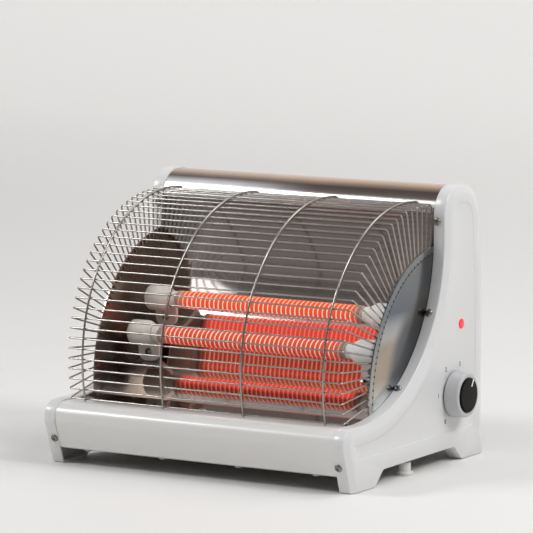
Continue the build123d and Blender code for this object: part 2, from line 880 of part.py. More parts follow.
def plungerSpring():
    # Spring between the collar and the top of the housing, with its ends square.
    low = collarHeight + collarThick + springWire + fitGap
    high = springTop - springWire - fitGap
    radius = (collarRadius + neckRadius) / 2
    path = Helix(pitch=(high - low) / springTurns, height=high - low, radius=radius)
    coil = sweep(Plane(origin=path @ 0, z_dir=path % 0) * Circle(springWire), path=path)
    return Pos(plungerX, plungerY, low) * coil


def tipHousing():
    # Housing of the tip-over switch above the arch wall.
    half = tipHouseWidth / 2
    body = block(
        (halfGap + tipHouseIn, panelInner - gap), (plungerY - half, plungerY + half),
        (archHeight + panelWall + fitGap, tipHouseTop),
    )
    low = archHeight
    body -= Pos(plungerX, plungerY, low) * extrude(Circle(tipBore), springTop - low)
    body -= Pos(plungerX, plungerY, low) * extrude(Circle(neckRadius + fit), plungerTop + plungerRoom - low)
    return body


def gland():
    # Bush for the mains cord in the rear cover.
    cover, _, _ = rearPoint(glandZ, coverInset + sheet + fitGap)
    inner, face = cover - glandReach, cover + gap
    body = rod((glandX, inner, glandZ), (glandX, face, glandZ), glandRadius)
    body += rod((glandX, face, glandZ), (glandX, face + glandThick, glandZ), glandFlange)
    return body - rod((glandX, inner, glandZ), (glandX, face + glandThick, glandZ), glandBore)


def terminalBlock():
    wide, deep, tall = blockSize
    low = baseTop + fitGap
    body = block((blockX - wide / 2, blockX + wide / 2), (blockY - deep / 2, blockY + deep / 2), (low, low + tall))
    for x in spread(3, blockPitch):
        x, z = blockX + x, low + tall / 2
        body -= rod((x, blockY - deep, z), (x, blockY + deep, z), blockBore)
        for y in (blockY - blockScrewStep, blockY + blockScrewStep):
            body -= rod((x, y, low + tall - blockScrewDepth), (x, y, low + 2 * tall), blockScrew)
    return body


def terminals(y, z):
    # Pins on both ends of a rod, out through the holders.
    pins = []
    for side in (-1, 1):
        pins.append(rod((side * (coreHalf + fitGap), y, z), (side * (holderOuter + pinOut), y, z), terminalRadius))
    return Compound(children=pins)


def place(part):
    return Pos(*middle, 0) * part


def save(name, part):
    export_step(place(part), "parts/" + name + ".step")


def group(parts):
    return Compound(children=list(parts))


def main():
    os.makedirs("parts", exist_ok=True)
    save("panel_left", leftHand(endPanel()))
    save("panel_right", rightEndPanel())
    save("side_plate_left", leftHand(sidePlate()))
    save("side_plate_right", rightSidePlate())
    save("front_panel", frontPanel())
    save("top_cover", topCover())
    save("rear_cover", rearCover())
    save("base_plate", basePlate())
    save("reflector", reflector())
    save("guard_wires", guardWires())
    save("guard_arches", guardArches())
    for name, y, z in zip(rodNames, rodY, rodZ):
        save("rod_" + name, core(y, z))
        save("winding_" + name, winding(y, z))
        save("holder_" + name + "_right", holder(y, z))
        save("holder_" + name + "_left", leftHand(holder(y, z)))
        save("terminals_" + name, terminals(y, z))
    save("bracket_right", bracket())
    save("bracket_left", leftHand(bracket()))
    save("rim_screws", group(screw(plane) for side in (-1, 1) for plane in rimSeats(side)))
    holderSeats = [holderSeat(y, z, side) for side in (-1, 1) for y, z in zip(rodY, rodZ)]
    save("holder_screws", group(screw(plane) for plane in holderSeats))
    save("ledge_screws", group(screw(plane, sheetScrewLength) for plane in ledgeSeats()))
    save("cover_screws", group(screw(plane, sheetScrewLength) for plane in lapSeats()))
    save("heel_screws", group(screw(plane, sheetScrewLength) for plane in heelSeats()))
    save("front_screws", group(screw(plane, sheetScrewLength) for plane in frontFootSeats()))
    save("bracket_screws", group(screw(plane, sheetScrewLength) for plane in bracketSeats()))
    save("knob_body", knobBody())
    save("knob_cap", knobCap())
    save("knob_pointer", knobPointer())
    save("knob_shaft", knobShaft())
    save("switch_body", switchBody())
    save("switch_nut", switchNut())
    save("lamp_lens", lampLens())
    save("lamp_body", lampBody())
    save("tip_plunger", plunger())
    save("tip_spring", plungerSpring())
    save("tip_housing", tipHousing())
    save("cord_gland", gland())
    save("terminal_block", terminalBlock())


if __name__ == "__main__":
    main()
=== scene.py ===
import bmesh
import bpy
from functools import partial
from math import acos, cos, hypot, pi, radians, sin, sqrt, tan
from mathutils import Matrix, Vector


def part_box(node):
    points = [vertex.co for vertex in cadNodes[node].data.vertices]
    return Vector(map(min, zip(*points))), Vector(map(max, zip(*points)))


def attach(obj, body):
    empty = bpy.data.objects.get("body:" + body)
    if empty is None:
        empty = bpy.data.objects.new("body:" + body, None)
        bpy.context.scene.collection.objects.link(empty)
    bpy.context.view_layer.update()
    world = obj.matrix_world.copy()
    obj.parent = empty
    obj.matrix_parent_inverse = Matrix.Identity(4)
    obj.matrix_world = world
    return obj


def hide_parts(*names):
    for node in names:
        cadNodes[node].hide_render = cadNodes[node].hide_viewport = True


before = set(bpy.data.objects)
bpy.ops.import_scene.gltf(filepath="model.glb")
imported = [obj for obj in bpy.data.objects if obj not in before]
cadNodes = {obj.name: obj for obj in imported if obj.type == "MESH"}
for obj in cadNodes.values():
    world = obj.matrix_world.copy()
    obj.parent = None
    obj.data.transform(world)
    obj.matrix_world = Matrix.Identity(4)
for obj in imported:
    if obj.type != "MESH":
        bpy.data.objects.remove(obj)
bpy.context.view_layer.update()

# Sizes below are millimetres about the centre line of the guard, as the heater was drawn.
# at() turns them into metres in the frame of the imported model.
panelFace, panelNose = 183.0, -188.64
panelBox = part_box("panel_right")
frameShift = Vector((panelBox[1].x - panelFace * 0.001, panelBox[0].y - panelNose * 0.001, 0.0))


def at(x, y, z):
    return Vector((x, y, z)) * 0.001 + frameShift


guardHeight = 105.9
guardCentre = at(0, 0, guardHeight)
plateCentre = at(0, 37.0, 78.0)
print("frame loaded")

# Meshes and how they are fitted to the heater


def newObject(name, data):
    obj = bpy.data.objects.new(name, data)
    bpy.context.scene.collection.objects.link(obj)
    return obj


def smoothShade(mesh, angle=35):
    for polygon in mesh.polygons:
        polygon.use_smooth = True
    mesh.set_sharp_from_angle(angle=radians(angle))


def meshPiece(name, points, faces, angle=35, outward=True):
    mesh = bpy.data.meshes.new(name)
    mesh.from_pydata([tuple(p) for p in points], [], faces)
    bench = bmesh.new()
    bench.from_mesh(mesh)
    bmesh.ops.remove_doubles(bench, verts=bench.verts, dist=1e-7)
    if outward:
        bmesh.ops.recalc_face_normals(bench, faces=bench.faces)
    bench.to_mesh(mesh)
    bench.free()
    smoothShade(mesh, angle)
    return newObject(name, mesh)


def ringsOf(points, loops):
    # adds the points of each loop, and gives back their numbers
    rings = []
    for loop in loops:
        rings.append(range(len(points), len(points) + len(loop)))
        points += loop
    return rings


def ringFaces(rings):
    faces = []
    for low, high in zip(rings, rings[1:]):
        count = len(low)
        faces += [(low[i], low[(i + 1) % count], high[(i + 1) % count], high[i]) for i in range(count)]
    return faces


def lathe(name, profile, origin, axis, steps=64, angle=35):
    # profile is (radius, distance along the axis) in millimetres
    along = Vector(axis).normalized()
    side = along.orthogonal().normalized()
    other = along.cross(side)
    points, rings = [], []
    for radius, reach in profile:
        ring = []
        for i in range(steps if radius > 1e-6 else 1):
            turn = 2 * pi * i / steps
            offset = side * cos(turn) + other * sin(turn)
            ring.append(len(points))
            points.append(origin + along * reach * 0.001 + offset * radius * 0.001)
        rings.append(ring)
    faces = []
    for low, high in zip(rings, rings[1:]):
        for i in range(steps):
            a, b = low[i % len(low)], low[(i + 1) % len(low)]
            c, d = high[(i + 1) % len(high)], high[i % len(high)]
            corner = list(dict.fromkeys((a, b, c, d)))
            if len(corner) > 2:
                faces.append(corner)
    return meshPiece(name, points, faces, angle)


def paint(piece, material):
    piece.data.materials.clear()
    piece.data.materials.append(material)


def fit(piece, material, body, slotName, *replaced):
    paint(piece, material)
    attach(piece, body)
    if replaced:
        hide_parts(*replaced)


def applyModifiers(piece):
    depsgraph = bpy.context.evaluated_depsgraph_get()
    mesh = bpy.data.meshes.new_from_object(piece.evaluated_get(depsgraph))
    piece.modifiers.clear()
    piece.data = mesh
    return piece


# Nodes, for materials and for Geometry Nodes


def feed(tree, node, values):
    for key, value in values.items():
        if isinstance(value, bpy.types.NodeSocket):
            tree.links.new(value, node.inputs[key])
        else:
            node.inputs[key].default_value = value


def addNode(tree, kind, values=None, **settings):
    node = tree.nodes.new(kind)
    for key, value in settings.items():
        setattr(node, key, value)
    feed(tree, node, values or {})
    return node


def output(tree, kind, values=None, **settings):
    return addNode(tree, kind, values, **settings).outputs[0]


def calc(tree, operation, *values):
    return output(tree, "ShaderNodeMath", dict(enumerate(values)), operation=operation)


def vectorCalc(tree, operation, *values):
    return output(tree, "ShaderNodeVectorMath", dict(enumerate(values)), operation=operation)


def remap(tree, value, start, stop, low=0.0, high=1.0, kind="LINEAR"):
    values = dict(enumerate((value, start, stop, low, high)))
    return output(tree, "ShaderNodeMapRange", values, interpolation_type=kind)


def objectPlace(tree):
    return addNode(tree, "ShaderNodeTexCoord").outputs["Object"]


def coordinate(tree, axis):
    return addNode(tree, "ShaderNodeSeparateXYZ", {0: objectPlace(tree)}).outputs[axis]


# Materials, all from nodes on Object coordinates

finishPlan = {
    "noiseRange": (0.3, 0.7), "fineDetail": 2.0, "toneGrain": 22.0, "coatRough": 0.12,
    "sheetColor": (0.5, 0.48, 0.46), "mottleGrain": 18.0, "mottle": (0.94, 1.06), "sheetWear": (0.85, 1.2),
    "sheetBump": 0.04,
}
sheetGrain = {"grain": 2200.0, "stretch": (0.02, 1, 1)}


def startMaterial(name, color, rough, metallic=0.0):
    material = bpy.data.materials.new(name)
    material.use_nodes = True
    material.diffuse_color = (*color, 1.0)
    tree = material.node_tree
    shader = tree.nodes["Principled BSDF"]
    feed(tree, shader, {"Base Color": (*color, 1.0), "Roughness": rough, "Metallic": metallic})
    return material, tree, shader


def cloud(tree, scale, stretch=(1, 1, 1), detail=3.0):
    mapped = output(tree, "ShaderNodeMapping", {"Vector": objectPlace(tree), "Scale": stretch})
    return output(tree, "ShaderNodeTexNoise", {"Vector": mapped, "Scale": scale, "Detail": detail})


def spread(tree, value, low, high):
    # stretches a noise, whose values lie mostly about its middle
    return remap(tree, value, *finishPlan["noiseRange"], low, high)


def blendColor(tree, share, first, second):
    mix = addNode(tree, "ShaderNodeMix", {"Factor": share}, data_type="RGBA")
    for key, value in ((6, first), (7, second)):
        feed(tree, mix, {key: value if isinstance(value, bpy.types.NodeSocket) else (*value, 1.0)})
    return mix.outputs[2]


def toneRamp(tree, share, stops, kind="LINEAR"):
    ramp = addNode(tree, "ShaderNodeValToRGB", {0: share})
    ramp.color_ramp.interpolation = kind
    for place, _ in stops[1:-1]:
        ramp.color_ramp.elements.new(place)
    for element, (place, color) in zip(ramp.color_ramp.elements, stops):
        element.position = place
        element.color = (*color, 1.0)
    return ramp.outputs[0]


def relief(tree, shader, height, strength, distance=0.0002):
    bump = output(tree, "ShaderNodeBump", {"Height": height, "Strength": strength, "Distance": distance})
    feed(tree, shader, {"Normal": bump})


def surface(
    name, color, rough, metallic=0.0, vary=0.04, grain=900.0, stretch=(1, 1, 1), bump=0.06, coat=0.0, wear=0.18,
    gloss=0.5,
):
    material, tree, shader = startMaterial(name, color, rough, metallic)
    fine = cloud(tree, grain, stretch, finishPlan["fineDetail"])
    darker = [c * (1 - vary) for c in color]
    lighter = [min(1.0, c * (1 + vary * 0.5)) for c in color]
    feed(tree, shader, {
        "Base Color": blendColor(tree, cloud(tree, finishPlan["toneGrain"]), darker, lighter),
        "Roughness": spread(tree, fine, rough * (1 - wear), min(1.0, rough * (1 + wear))),
        "Coat Weight": coat, "Coat Roughness": finishPlan["coatRough"], "Specular IOR Level": gloss,
    })
    relief(tree, shader, fine, bump)
    return material


def facingShare(tree, way, low, high):
    # 0 to 1 as the surface turns towards the given way
    normal = addNode(tree, "ShaderNodeNewGeometry").outputs["Normal"]
    facing = addNode(tree, "ShaderNodeVectorMath", {0: normal, 1: way}, operation="DOT_PRODUCT").outputs["Value"]
    return remap(tree, facing, low, high)


def hotMaterial(name, p):
    material, tree, shader = startMaterial(name, p["cold"], p["rough"])
    # 1 along the glowing middle of a rod, falling to 0 at both of its ends
    away = calc(tree, "ABSOLUTE", calc(tree, "SUBTRACT", coordinate(tree, "X"), frameShift.x))
    lit = remap(tree, away, p["halfLit"] - p["fade"], p["halfLit"], 1.0, 0.0)
    # the glow is lighter or darker by whether the surface faces up or down: painted light and shade
    glow = blendColor(tree, facingShare(tree, (0, 0, 1), *p["turn"]), p["glowDownPainted"], p["glowUpPainted"])
    # the side facing the reflector takes its own glow, painted so that the reflector shows a red painted reflection
    glow = blendColor(tree, facingShare(tree, p["rear"], *p["rearTurn"]), glow, p["paintedRearGlow"])
    if p["windings"]:
        # the fine turns of the coil, counted along its length
        along = addNode(tree, "ShaderNodeAttribute", attribute_name="along").outputs["Fac"]
        fine = calc(tree, "SINE", calc(tree, "MULTIPLY", along, 2 * pi / p["windings"]))
        dimmed = vectorCalc(tree, "MULTIPLY", glow, p["deep"])
        glow = blendColor(tree, remap(tree, fine, *p["groove"]), dimmed, glow)
        relief(tree, shader, fine, p["bump"], p["bumpDepth"])
    else:
        relief(tree, shader, cloud(tree, p["grain"]), p["bump"])
    stained = blendColor(tree, cloud(tree, p["stainGrain"]), p["cold"], p["coldDark"])
    feed(tree, shader, {
        "Base Color": blendColor(tree, lit, stained, p["warm"]),
        "Emission Color": blendColor(tree, lit, (0.0, 0.0, 0.0), glow),
        "Emission Strength": p["strength"], "Specular IOR Level": p["gloss"],
    })
    return material


whitePlastic = surface("whiteMouldedPlastic", (0.70, 0.70, 0.70), 0.30, vary=0.01, bump=0.008, coat=0.12, wear=0.03)
knobPlastic = surface("knobPlastic", (0.50, 0.50, 0.515), 0.26, vary=0.01, bump=0.008, coat=0.2, wear=0.03)
whitePaint = surface("whiteEnamel", (0.73, 0.72, 0.70), 0.24, vary=0.01, bump=0.008, coat=0.2, wear=0.03)
reflectorSheet = surface("reflectorSheet", (0.44, 0.39, 0.355), 0.065, 1.0, bump=0.03, **sheetGrain)
greyPaint = surface("greyEnamel", (0.33, 0.33, 0.34), 0.45, grain=600.0, bump=0.08)
zincSteel = surface("zincPlate", (0.42, 0.41, 0.39), 0.36, 1.0, vary=0.12)
screwSteel = surface("screwSteel", (0.26, 0.25, 0.235), 0.26, 1.0, vary=0.15, bump=0.05)
guardWire = surface("guardWire", (0.36, 0.345, 0.32), 0.22, 1.0, vary=0.10, grain=1200.0, bump=0.05)
weldSteel = surface("weldSteel", (0.07, 0.065, 0.06), 0.45, 1.0, vary=0.2, bump=0.05)
creamShadedCeramic = surface("creamShadedCeramic", (0.74, 0.69, 0.62), 0.45, vary=0.06, grain=180.0)
whiteCeramic = surface("whiteCeramic", (0.95, 0.935, 0.90), 0.42, grain=180.0)
blackGloss = surface("blackGloss", (0.008, 0.007, 0.006), 0.10, vary=0.2, bump=0.01, gloss=0.06)
darkPlastic = surface("darkPlastic", (0.05, 0.05, 0.05), 0.5, vary=0.15, bump=0.1)
whitePrint = surface("whitePrint", (0.92, 0.92, 0.90), 0.5, vary=0.02, bump=0.02)
greyPrint = surface("greyPrint", (0.045, 0.045, 0.05), 0.55, vary=0.1, bump=0.02)
plainBrass = surface("plainBrass", (0.62, 0.45, 0.18), 0.3, 1.0, vary=0.1)
footPlastic = surface("footPlastic", (0.66, 0.65, 0.62), 0.45, vary=0.05, bump=0.03)

# the ceramic core and the ridges between the coil's turns glow as well: painted light from the coil
rodPaint = {
    "cold": (0.74, 0.67, 0.58), "coldDark": (0.60, 0.53, 0.45), "warm": (0.34, 0.26, 0.21),
    "glowUpPainted": (0.30, 0.05, 0.02), "glowDownPainted": (0.16, 0.018, 0.012), "paintedRearGlow": (0.8, 0.10, 0.06),
    "strength": 1.6, "halfLit": 0.111, "fade": 0.012, "turn": (-0.75, 0.55), "rear": (0, 0.97, -0.24),
    "rearTurn": (-0.05, 0.2), "rough": 0.5, "gloss": 0.2, "grain": 900.0, "stainGrain": 300.0, "bump": 0.25,
    "windings": 0.0,
}
ridgePaint = {**rodPaint, "paintedRearGlow": (1.0, 0.30, 0.25)}
coilPaint = {
    **rodPaint, "cold": (0.50, 0.43, 0.36), "coldDark": (0.30, 0.25, 0.21), "warm": (0.22, 0.04, 0.02),
    "paintedRearGlow": (1.0, 0.10, 0.075), "halfLit": 0.113, "windings": 0.0016, "deep": (0.6, 0.4, 0.45),
    "groove": (-1.0, 0.4, 0.45, 1.0), "bump": 0.8, "bumpDepth": 0.0003,
}
rodColors = {
    "upperCoil": {**coilPaint, "glowUpPainted": (0.50, 0.052, 0.012), "glowDownPainted": (0.40, 0.035, 0.018)},
    "lowerCoil": {**coilPaint, "glowUpPainted": (0.40, 0.042, 0.018), "glowDownPainted": (0.24, 0.020, 0.015)},
    "upperRidge": {
        **ridgePaint, "glowUpPainted": (0.50, 0.21, 0.11), "glowDownPainted": (0.47, 0.33, 0.25), "turn": (0.15, 0.75),
    },
    "lowerRidge": {
        **ridgePaint, "glowUpPainted": (0.46, 0.35, 0.28), "glowDownPainted": (0.22, 0.07, 0.055), "turn": (-0.65, -0.05),
    },
}
coreCeramic = hotMaterial("rodCeramic", rodPaint)
rodFinish = {name: hotMaterial(name, colors) for name, colors in rodColors.items()}


def paintedReflectionSteel(name, rough, tone):
    # polished sheet whose tone is painted reflection and shade that drifts from place to place, as tone builds it in
    # the tree
    p = finishPlan
    material, tree, shader = startMaterial(name, p["sheetColor"], rough, 1.0)
    fine = cloud(tree, sheetGrain["grain"], sheetGrain["stretch"], p["fineDetail"])
    toned = {0: tone(tree), "Scale": spread(tree, cloud(tree, p["mottleGrain"]), *p["mottle"])}
    feed(tree, shader, {
        "Base Color": output(tree, "ShaderNodeVectorMath", toned, operation="SCALE"),
        "Roughness": spread(tree, fine, *(rough * wear for wear in p["sheetWear"])),
    })
    relief(tree, shader, fine, p["sheetBump"])
    return material


# Distances from the middle of the plate's curved edge are in millimetres, heights above the table in metres.
# Each list of tones, painted reflection and shade on the polished plates, runs from the lower height, at 0, to the
# upper one, at 1.
platePlan = {
    "hem": (143.2, 144.2), "seamStart": (142.5, 143.0), "seamStop": (143.9, 144.4), "band": (102.0, 122.0),
    "heights": (0.06, 0.24), "seam": (0.03, 0.03, 0.03),
    "edge": [
        (0.0, (0.62, 0.68, 0.71)), (0.13, (0.56, 0.58, 0.56)), (0.24, (0.39, 0.32, 0.255)),
        (0.42, (0.37, 0.325, 0.27)), (0.47, (0.42, 0.405, 0.39)), (0.53, (0.33, 0.345, 0.355)),
        (0.60, (0.13, 0.15, 0.175)), (0.72, (0.17, 0.18, 0.19)), (1.0, (0.22, 0.215, 0.20)),
    ],
    "inner": [
        (0.0, (0.48, 0.54, 0.58)), (0.14, (0.36, 0.41, 0.44)), (0.24, (0.13, 0.14, 0.15)),
        (0.5, (0.105, 0.108, 0.108)), (0.62, (0.15, 0.145, 0.135)), (0.7, (0.24, 0.215, 0.195)),
        (0.78, (0.12, 0.12, 0.12)), (1.0, (0.13, 0.13, 0.125)),
    ],
    "rim": [
        (0.0, (0.50, 0.48, 0.45)), (0.35, (0.30, 0.30, 0.30)), (0.6, (0.17, 0.19, 0.21)), (1.0, (0.25, 0.25, 0.25)),
    ],
    "shadeHeights": (0.06, 0.25),
    "shade": [
        (0.0, (0.15, 0.145, 0.14)), (0.3, (0.21, 0.185, 0.165)), (0.6, (0.44, 0.34, 0.275)),
        (1.0, (0.34, 0.27, 0.22)),
    ],
}


def paintedPlateReflection(tree):
    # painted reflection on the right plate, by distance from the middle of its curved edge and height above the
    # table, with a dark seam at the hem
    p = platePlan
    away = vectorCalc(tree, "SUBTRACT", objectPlace(tree), plateCentre)
    flat = vectorCalc(tree, "MULTIPLY", away, (0, 1, 1))
    reach = addNode(tree, "ShaderNodeVectorMath", {0: flat}, operation="LENGTH").outputs["Value"]
    level = remap(tree, coordinate(tree, "Z"), *p["heights"])

    def across(start, stop, low=0.0, high=1.0):
        return remap(tree, reach, start * 0.001, stop * 0.001, low, high, "SMOOTHSTEP")

    tone = blendColor(tree, across(*p["band"]), toneRamp(tree, level, p["inner"]), toneRamp(tree, level, p["edge"]))
    tone = blendColor(tree, across(*p["hem"]), tone, toneRamp(tree, level, p["rim"]))
    seam = calc(tree, "MULTIPLY", across(*p["seamStart"]), across(*p["seamStop"], 1.0, 0.0))
    return blendColor(tree, seam, tone, p["seam"])


def shadePlateTone(tree):
    # the left plate faces away from the light: brown towards its top, near black below
    return toneRamp(tree, remap(tree, coordinate(tree, "Z"), *platePlan["shadeHeights"]), platePlan["shade"])


# tones of the cover's painted reflection, from the lip at 0 to the upward face at 1
coverPlan = {
    "left": [
        (0.0, (0.88, 0.88, 0.87)), (0.30, (0.80, 0.81, 0.81)), (0.62, (0.78, 0.78, 0.78)),
        (0.8, (0.20, 0.17, 0.155)), (1.0, (0.62, 0.46, 0.35)),
    ],
    "right": [
        (0.0, (0.92, 0.92, 0.91)), (0.28, (0.86, 0.86, 0.85)), (0.42, (0.17, 0.14, 0.125)),
        (0.75, (0.12, 0.095, 0.085)), (1.0, (0.66, 0.46, 0.34)),
    ],
    "change": (-0.11, 0.02), "turn": (0.25, 0.97),
}


def paintedCoverReflection(tree):
    # painted reflection: bright on the turned-down lip, brown where it faces up, brighter towards the left end
    p = coverPlan
    up = facingShare(tree, (0, 0, 1), *p["turn"])
    across = remap(tree, coordinate(tree, "X"), *p["change"], kind="SMOOTHSTEP")
    return blendColor(tree, across, toneRamp(tree, up, p["left"]), toneRamp(tree, up, p["right"]))


plateSteel = paintedReflectionSteel("sidePlateSteel", 0.16, paintedPlateReflection)
darkPlate = paintedReflectionSteel("sidePlateShade", 0.26, shadePlateTone)
coverSteel = paintedReflectionSteel("coverSteel", 0.20, paintedCoverReflection)


lensPaint = {
    "color": (0.75, 0.02, 0.02), "dark": (0.62, 0.01, 0.012), "light": (0.85, 0.03, 0.03), "rough": 0.12,
    "glow": (1.0, 0.03, 0.025, 1.0), "strength": 0.28, "coat": 0.5, "grain": 700.0, "bump": 0.1,
}


def lampMaterial(p):
    material, tree, shader = startMaterial("redLens", p["color"], p["rough"])
    fine = cloud(tree, p["grain"])
    feed(tree, shader, {
        "Base Color": blendColor(tree, fine, p["dark"], p["light"]), "Emission Color": p["glow"],
        "Emission Strength": p["strength"], "Coat Weight": p["coat"],
    })
    relief(tree, shader, fine, p["bump"])
    return material


redLens = lampMaterial(lensPaint)
nodeFinish = {
    "side_plate_left": darkPlate, "side_plate_right": plateSteel, "rear_cover": greyPaint,
    "base_plate bracket_left bracket_right tip_spring": zincSteel,
    "cover_screws heel_screws front_screws bracket_screws": zincSteel,
    "terminals_lower terminals_upper switch_nut knob_shaft": plainBrass,
    "switch_body lamp_body tip_housing cord_gland": darkPlastic, "terminal_block": whiteCeramic,
}
for nodeNames, finish in nodeFinish.items():
    for nodeName in nodeNames.split():
        paint(cadNodes[nodeName], finish)
print("materials ready")

# Side outline that the panels and covers share

outlinePlan = {
    "toeFront": -173.0, "lean": 18.5, "boxTop": 66.5, "noseRadius": 17.0, "sweepRadius": 169.5, "neckFront": 20.5,
    "top": 289.5, "frontCorner": 30.0, "rearCorner": 38.0, "shoulderRear": 93.2, "waistRear": 102.8,
    "waistHeight": 165.0, "waistRadius": 400.0, "heelNeck": 100.5, "heelHeight": 32.0, "heelRadius": 70.0,
    "heelRear": 108.0, "rearFoot": 54.5, "archRear": 37.0, "archFront": -111.0, "frontFoot": -129.0,
    "archHeight": 15.5, "footCorner": 4.0, "archCorner": 7.0,
}
firstFloorSide = 7
cornerSteps = (6, 14, 44, 16, 20, 8, 10, 6, 4, 6, 6, 4)
leanAngle = radians(outlinePlan["lean"])
sweepRadius = outlinePlan["sweepRadius"]
sweepY = outlinePlan["neckFront"] - sweepRadius
sweepZ = outlinePlan["boxTop"] + sweepRadius


def outlineCorners(inset, floorInset=0.0):
    p = outlinePlan
    raw = [
        (p["toeFront"], 0.0, p["footCorner"]),
        (p["toeFront"] - p["boxTop"] * tan(leanAngle), p["boxTop"], p["noseRadius"]),
        (p["neckFront"], p["boxTop"], -p["sweepRadius"]),
        (p["neckFront"], p["top"], p["frontCorner"]),
        (p["shoulderRear"], p["top"], p["rearCorner"]),
        (p["waistRear"], p["waistHeight"], p["waistRadius"]),
        (p["heelNeck"], p["heelHeight"], -p["heelRadius"]),
        (p["heelRear"], 0.0, p["footCorner"]),
        (p["rearFoot"], 0.0, p["footCorner"]),
        (p["archRear"], p["archHeight"], p["archCorner"]),
        (p["archFront"], p["archHeight"], p["archCorner"]),
        (p["frontFoot"], 0.0, p["footCorner"]),
    ]
    sides = []
    for i, (y, z, _) in enumerate(raw):
        nextY, nextZ, _ = raw[(i + 1) % len(raw)]
        run = hypot(nextY - y, nextZ - z)
        alongY, alongZ = (nextY - y) / run, (nextZ - z) / run
        shift = floorInset if i >= firstFloorSide else inset
        sides.append((y + alongZ * shift, z - alongY * shift, alongY, alongZ))
    drawn = []
    for i, (_, _, radius) in enumerate(raw):
        y1, z1, a1, b1 = sides[i - 1]
        y2, z2, a2, b2 = sides[i]
        t = ((y2 - y1) * b2 - (z2 - z1) * a2) / (a1 * b2 - b1 * a2)
        bend = radius
        if i < firstFloorSide:
            bend = max(radius - inset, 1.0) if radius > 0 else inset - radius
        drawn.append((y1 + a1 * t, z1 + b1 * t, bend))
    return drawn


def roundedCorner(before, corner, after, radius, steps):
    here = Vector(corner)
    back = (Vector(before) - here).normalized()
    ahead = (Vector(after) - here).normalized()
    half = acos(max(-1.0, min(1.0, back.dot(ahead)))) / 2
    centre = here + (back + ahead).normalized() * (radius / sin(half))
    start = here + back * (radius / tan(half)) - centre
    end = here + ahead * (radius / tan(half)) - centre
    sweep = acos(max(-1.0, min(1.0, start.normalized().dot(end.normalized()))))
    points = []
    for i in range(steps + 1):
        share = i / steps
        point = centre + (start * sin((1 - share) * sweep) + end * sin(share * sweep)) / sin(sweep)
        points.append((point.x, point.y))
    return points


def roundedPath(corners, steps, closed=True):
    path = []
    for i, (y, z, radius) in enumerate(corners):
        if not closed and i in (0, len(corners) - 1):
            path.append((y, z))
            continue
        before, after = corners[i - 1][:2], corners[(i + 1) % len(corners)][:2]
        path += roundedCorner(before, (y, z), after, radius, steps[i])
    return path


def outlineLoop(inset, floorInset=0.0):
    return roundedPath(outlineCorners(inset, floorInset), cornerSteps)


# End panels: loops of the outline from the hollow inside to the bevelled face

panelPlan = {
    "inner": 167.0, "face": panelFace, "wall": 2.5, "faceWall": 3.5, "rim": 13.0, "bevel": 9.0,
    "fieldInset": 18.0, "fieldFoot": 33.0, "fieldCorner": 7.0, "fieldSteps": (8, 14, 44, 16, 20, 8, 8),
    "fieldEdge": ((0.0, 0.0), (0.12, 0.35), (0.5, 0.8), (0.7, 1.5)),
}


def panelLoops(p):
    # (place along the heater, inset, inset at the feet)
    inner, rimEdge, face = p["inner"], p["inner"] + p["rim"], p["face"]
    wall, bevel = p["wall"], p["bevel"]
    return [
        (face - p["faceWall"], wall, wall), (inner + 0.4, wall, wall), (inner, wall - 0.4, wall - 0.4),
        (inner, 0.7, 0.5), (inner + 0.25, 0.2, 0.15), (inner + 0.8, 0.0, 0.0), (rimEdge - 1.2, 0.0, 0.0),
        (rimEdge - 0.45, 0.12, 0.06), (rimEdge + 0.05, 0.55, 0.2), (rimEdge + 0.45, 1.5, 0.4),
        (face - 0.55, bevel - 1.5, 0.6), (face - 0.15, bevel - 0.3, 0.9), (face, bevel + 1.1, 1.4),
    ]


def fieldLoop(p, grow):
    corners = outlineCorners(p["fieldInset"] + grow)
    foot, bend = p["fieldFoot"] + grow, p["fieldCorner"]
    nose, waist, heel = corners[1], corners[5], corners[6]
    frontY = nose[0] + (nose[1] - foot) * tan(leanAngle)
    rearY = waist[0] + (heel[0] - waist[0]) * (waist[1] - foot) / (waist[1] - heel[1])
    return roundedPath([(frontY, foot, bend), *corners[1:6], (rearY, foot, bend)], p["fieldSteps"])


def endPanel(name, side):
    p = panelPlan
    points = []
    rings = ringsOf(points, [
        [at(x, y, z) for y, z in outlineLoop(inset, floorInset)] for x, inset, floorInset in panelLoops(p)
    ])
    fieldRings = ringsOf(points, [
        [at(p["face"] - sink, y, z) for y, z in fieldLoop(p, grow)] for sink, grow in p["fieldEdge"]
    ])
    mesh = bpy.data.meshes.new(name)
    mesh.from_pydata([tuple(v) for v in points], [], ringFaces(rings) + ringFaces(fieldRings))
    bench = bmesh.new()
    bench.from_mesh(mesh)
    bench.verts.ensure_lookup_table()
    for borders in ((rings[-1], fieldRings[0]), (fieldRings[-1],), (rings[0],)):
        edges = []
        for ring in borders:
            for i, index in enumerate(ring):
                pair = (bench.verts[index], bench.verts[ring[(i + 1) % len(ring)]])
                edges.append(bench.edges.get(pair) or bench.edges.new(pair))
        bmesh.ops.triangle_fill(bench, use_beauty=True, edges=edges)
    if side < 0:
        for vertex in bench.verts:
            vertex.co.x = 2 * frameShift.x - vertex.co.x
    bmesh.ops.recalc_face_normals(bench, faces=bench.faces)
    bench.to_mesh(mesh)
    bench.free()
    smoothShade(mesh, angle=28)
    return newObject(name, mesh)


fit(endPanel("panelShellRight", 1), whitePlastic, "heater", "white_plastic", "panel_right")
fit(endPanel("panelShellLeft", -1), whitePlastic, "heater", "white_plastic", "panel_left")
print("end panels done")

# Bent sheets: a side profile drawn along the heater and given its thickness

sheetPlan = {
    "half": 166.9, "columns": 12, "cover": 0.8, "front": 1.0, "reflector": 0.6, "edge": 0.25, "edgeShare": 0.3,
    "coverInset": 1.5, "coverMiddle": 60.0, "coverFrontLip": 263.0, "coverRearLip": 205.0, "frontInset": 1.0,
    "frontFoot": 18.1, "frontRear": -155.6, "flangeDrop": 0.6, "flangeFront": -155.0, "flangeRear": -128.0,
    "flangeHeight": 63.3, "flangeBend": 1.2,
}


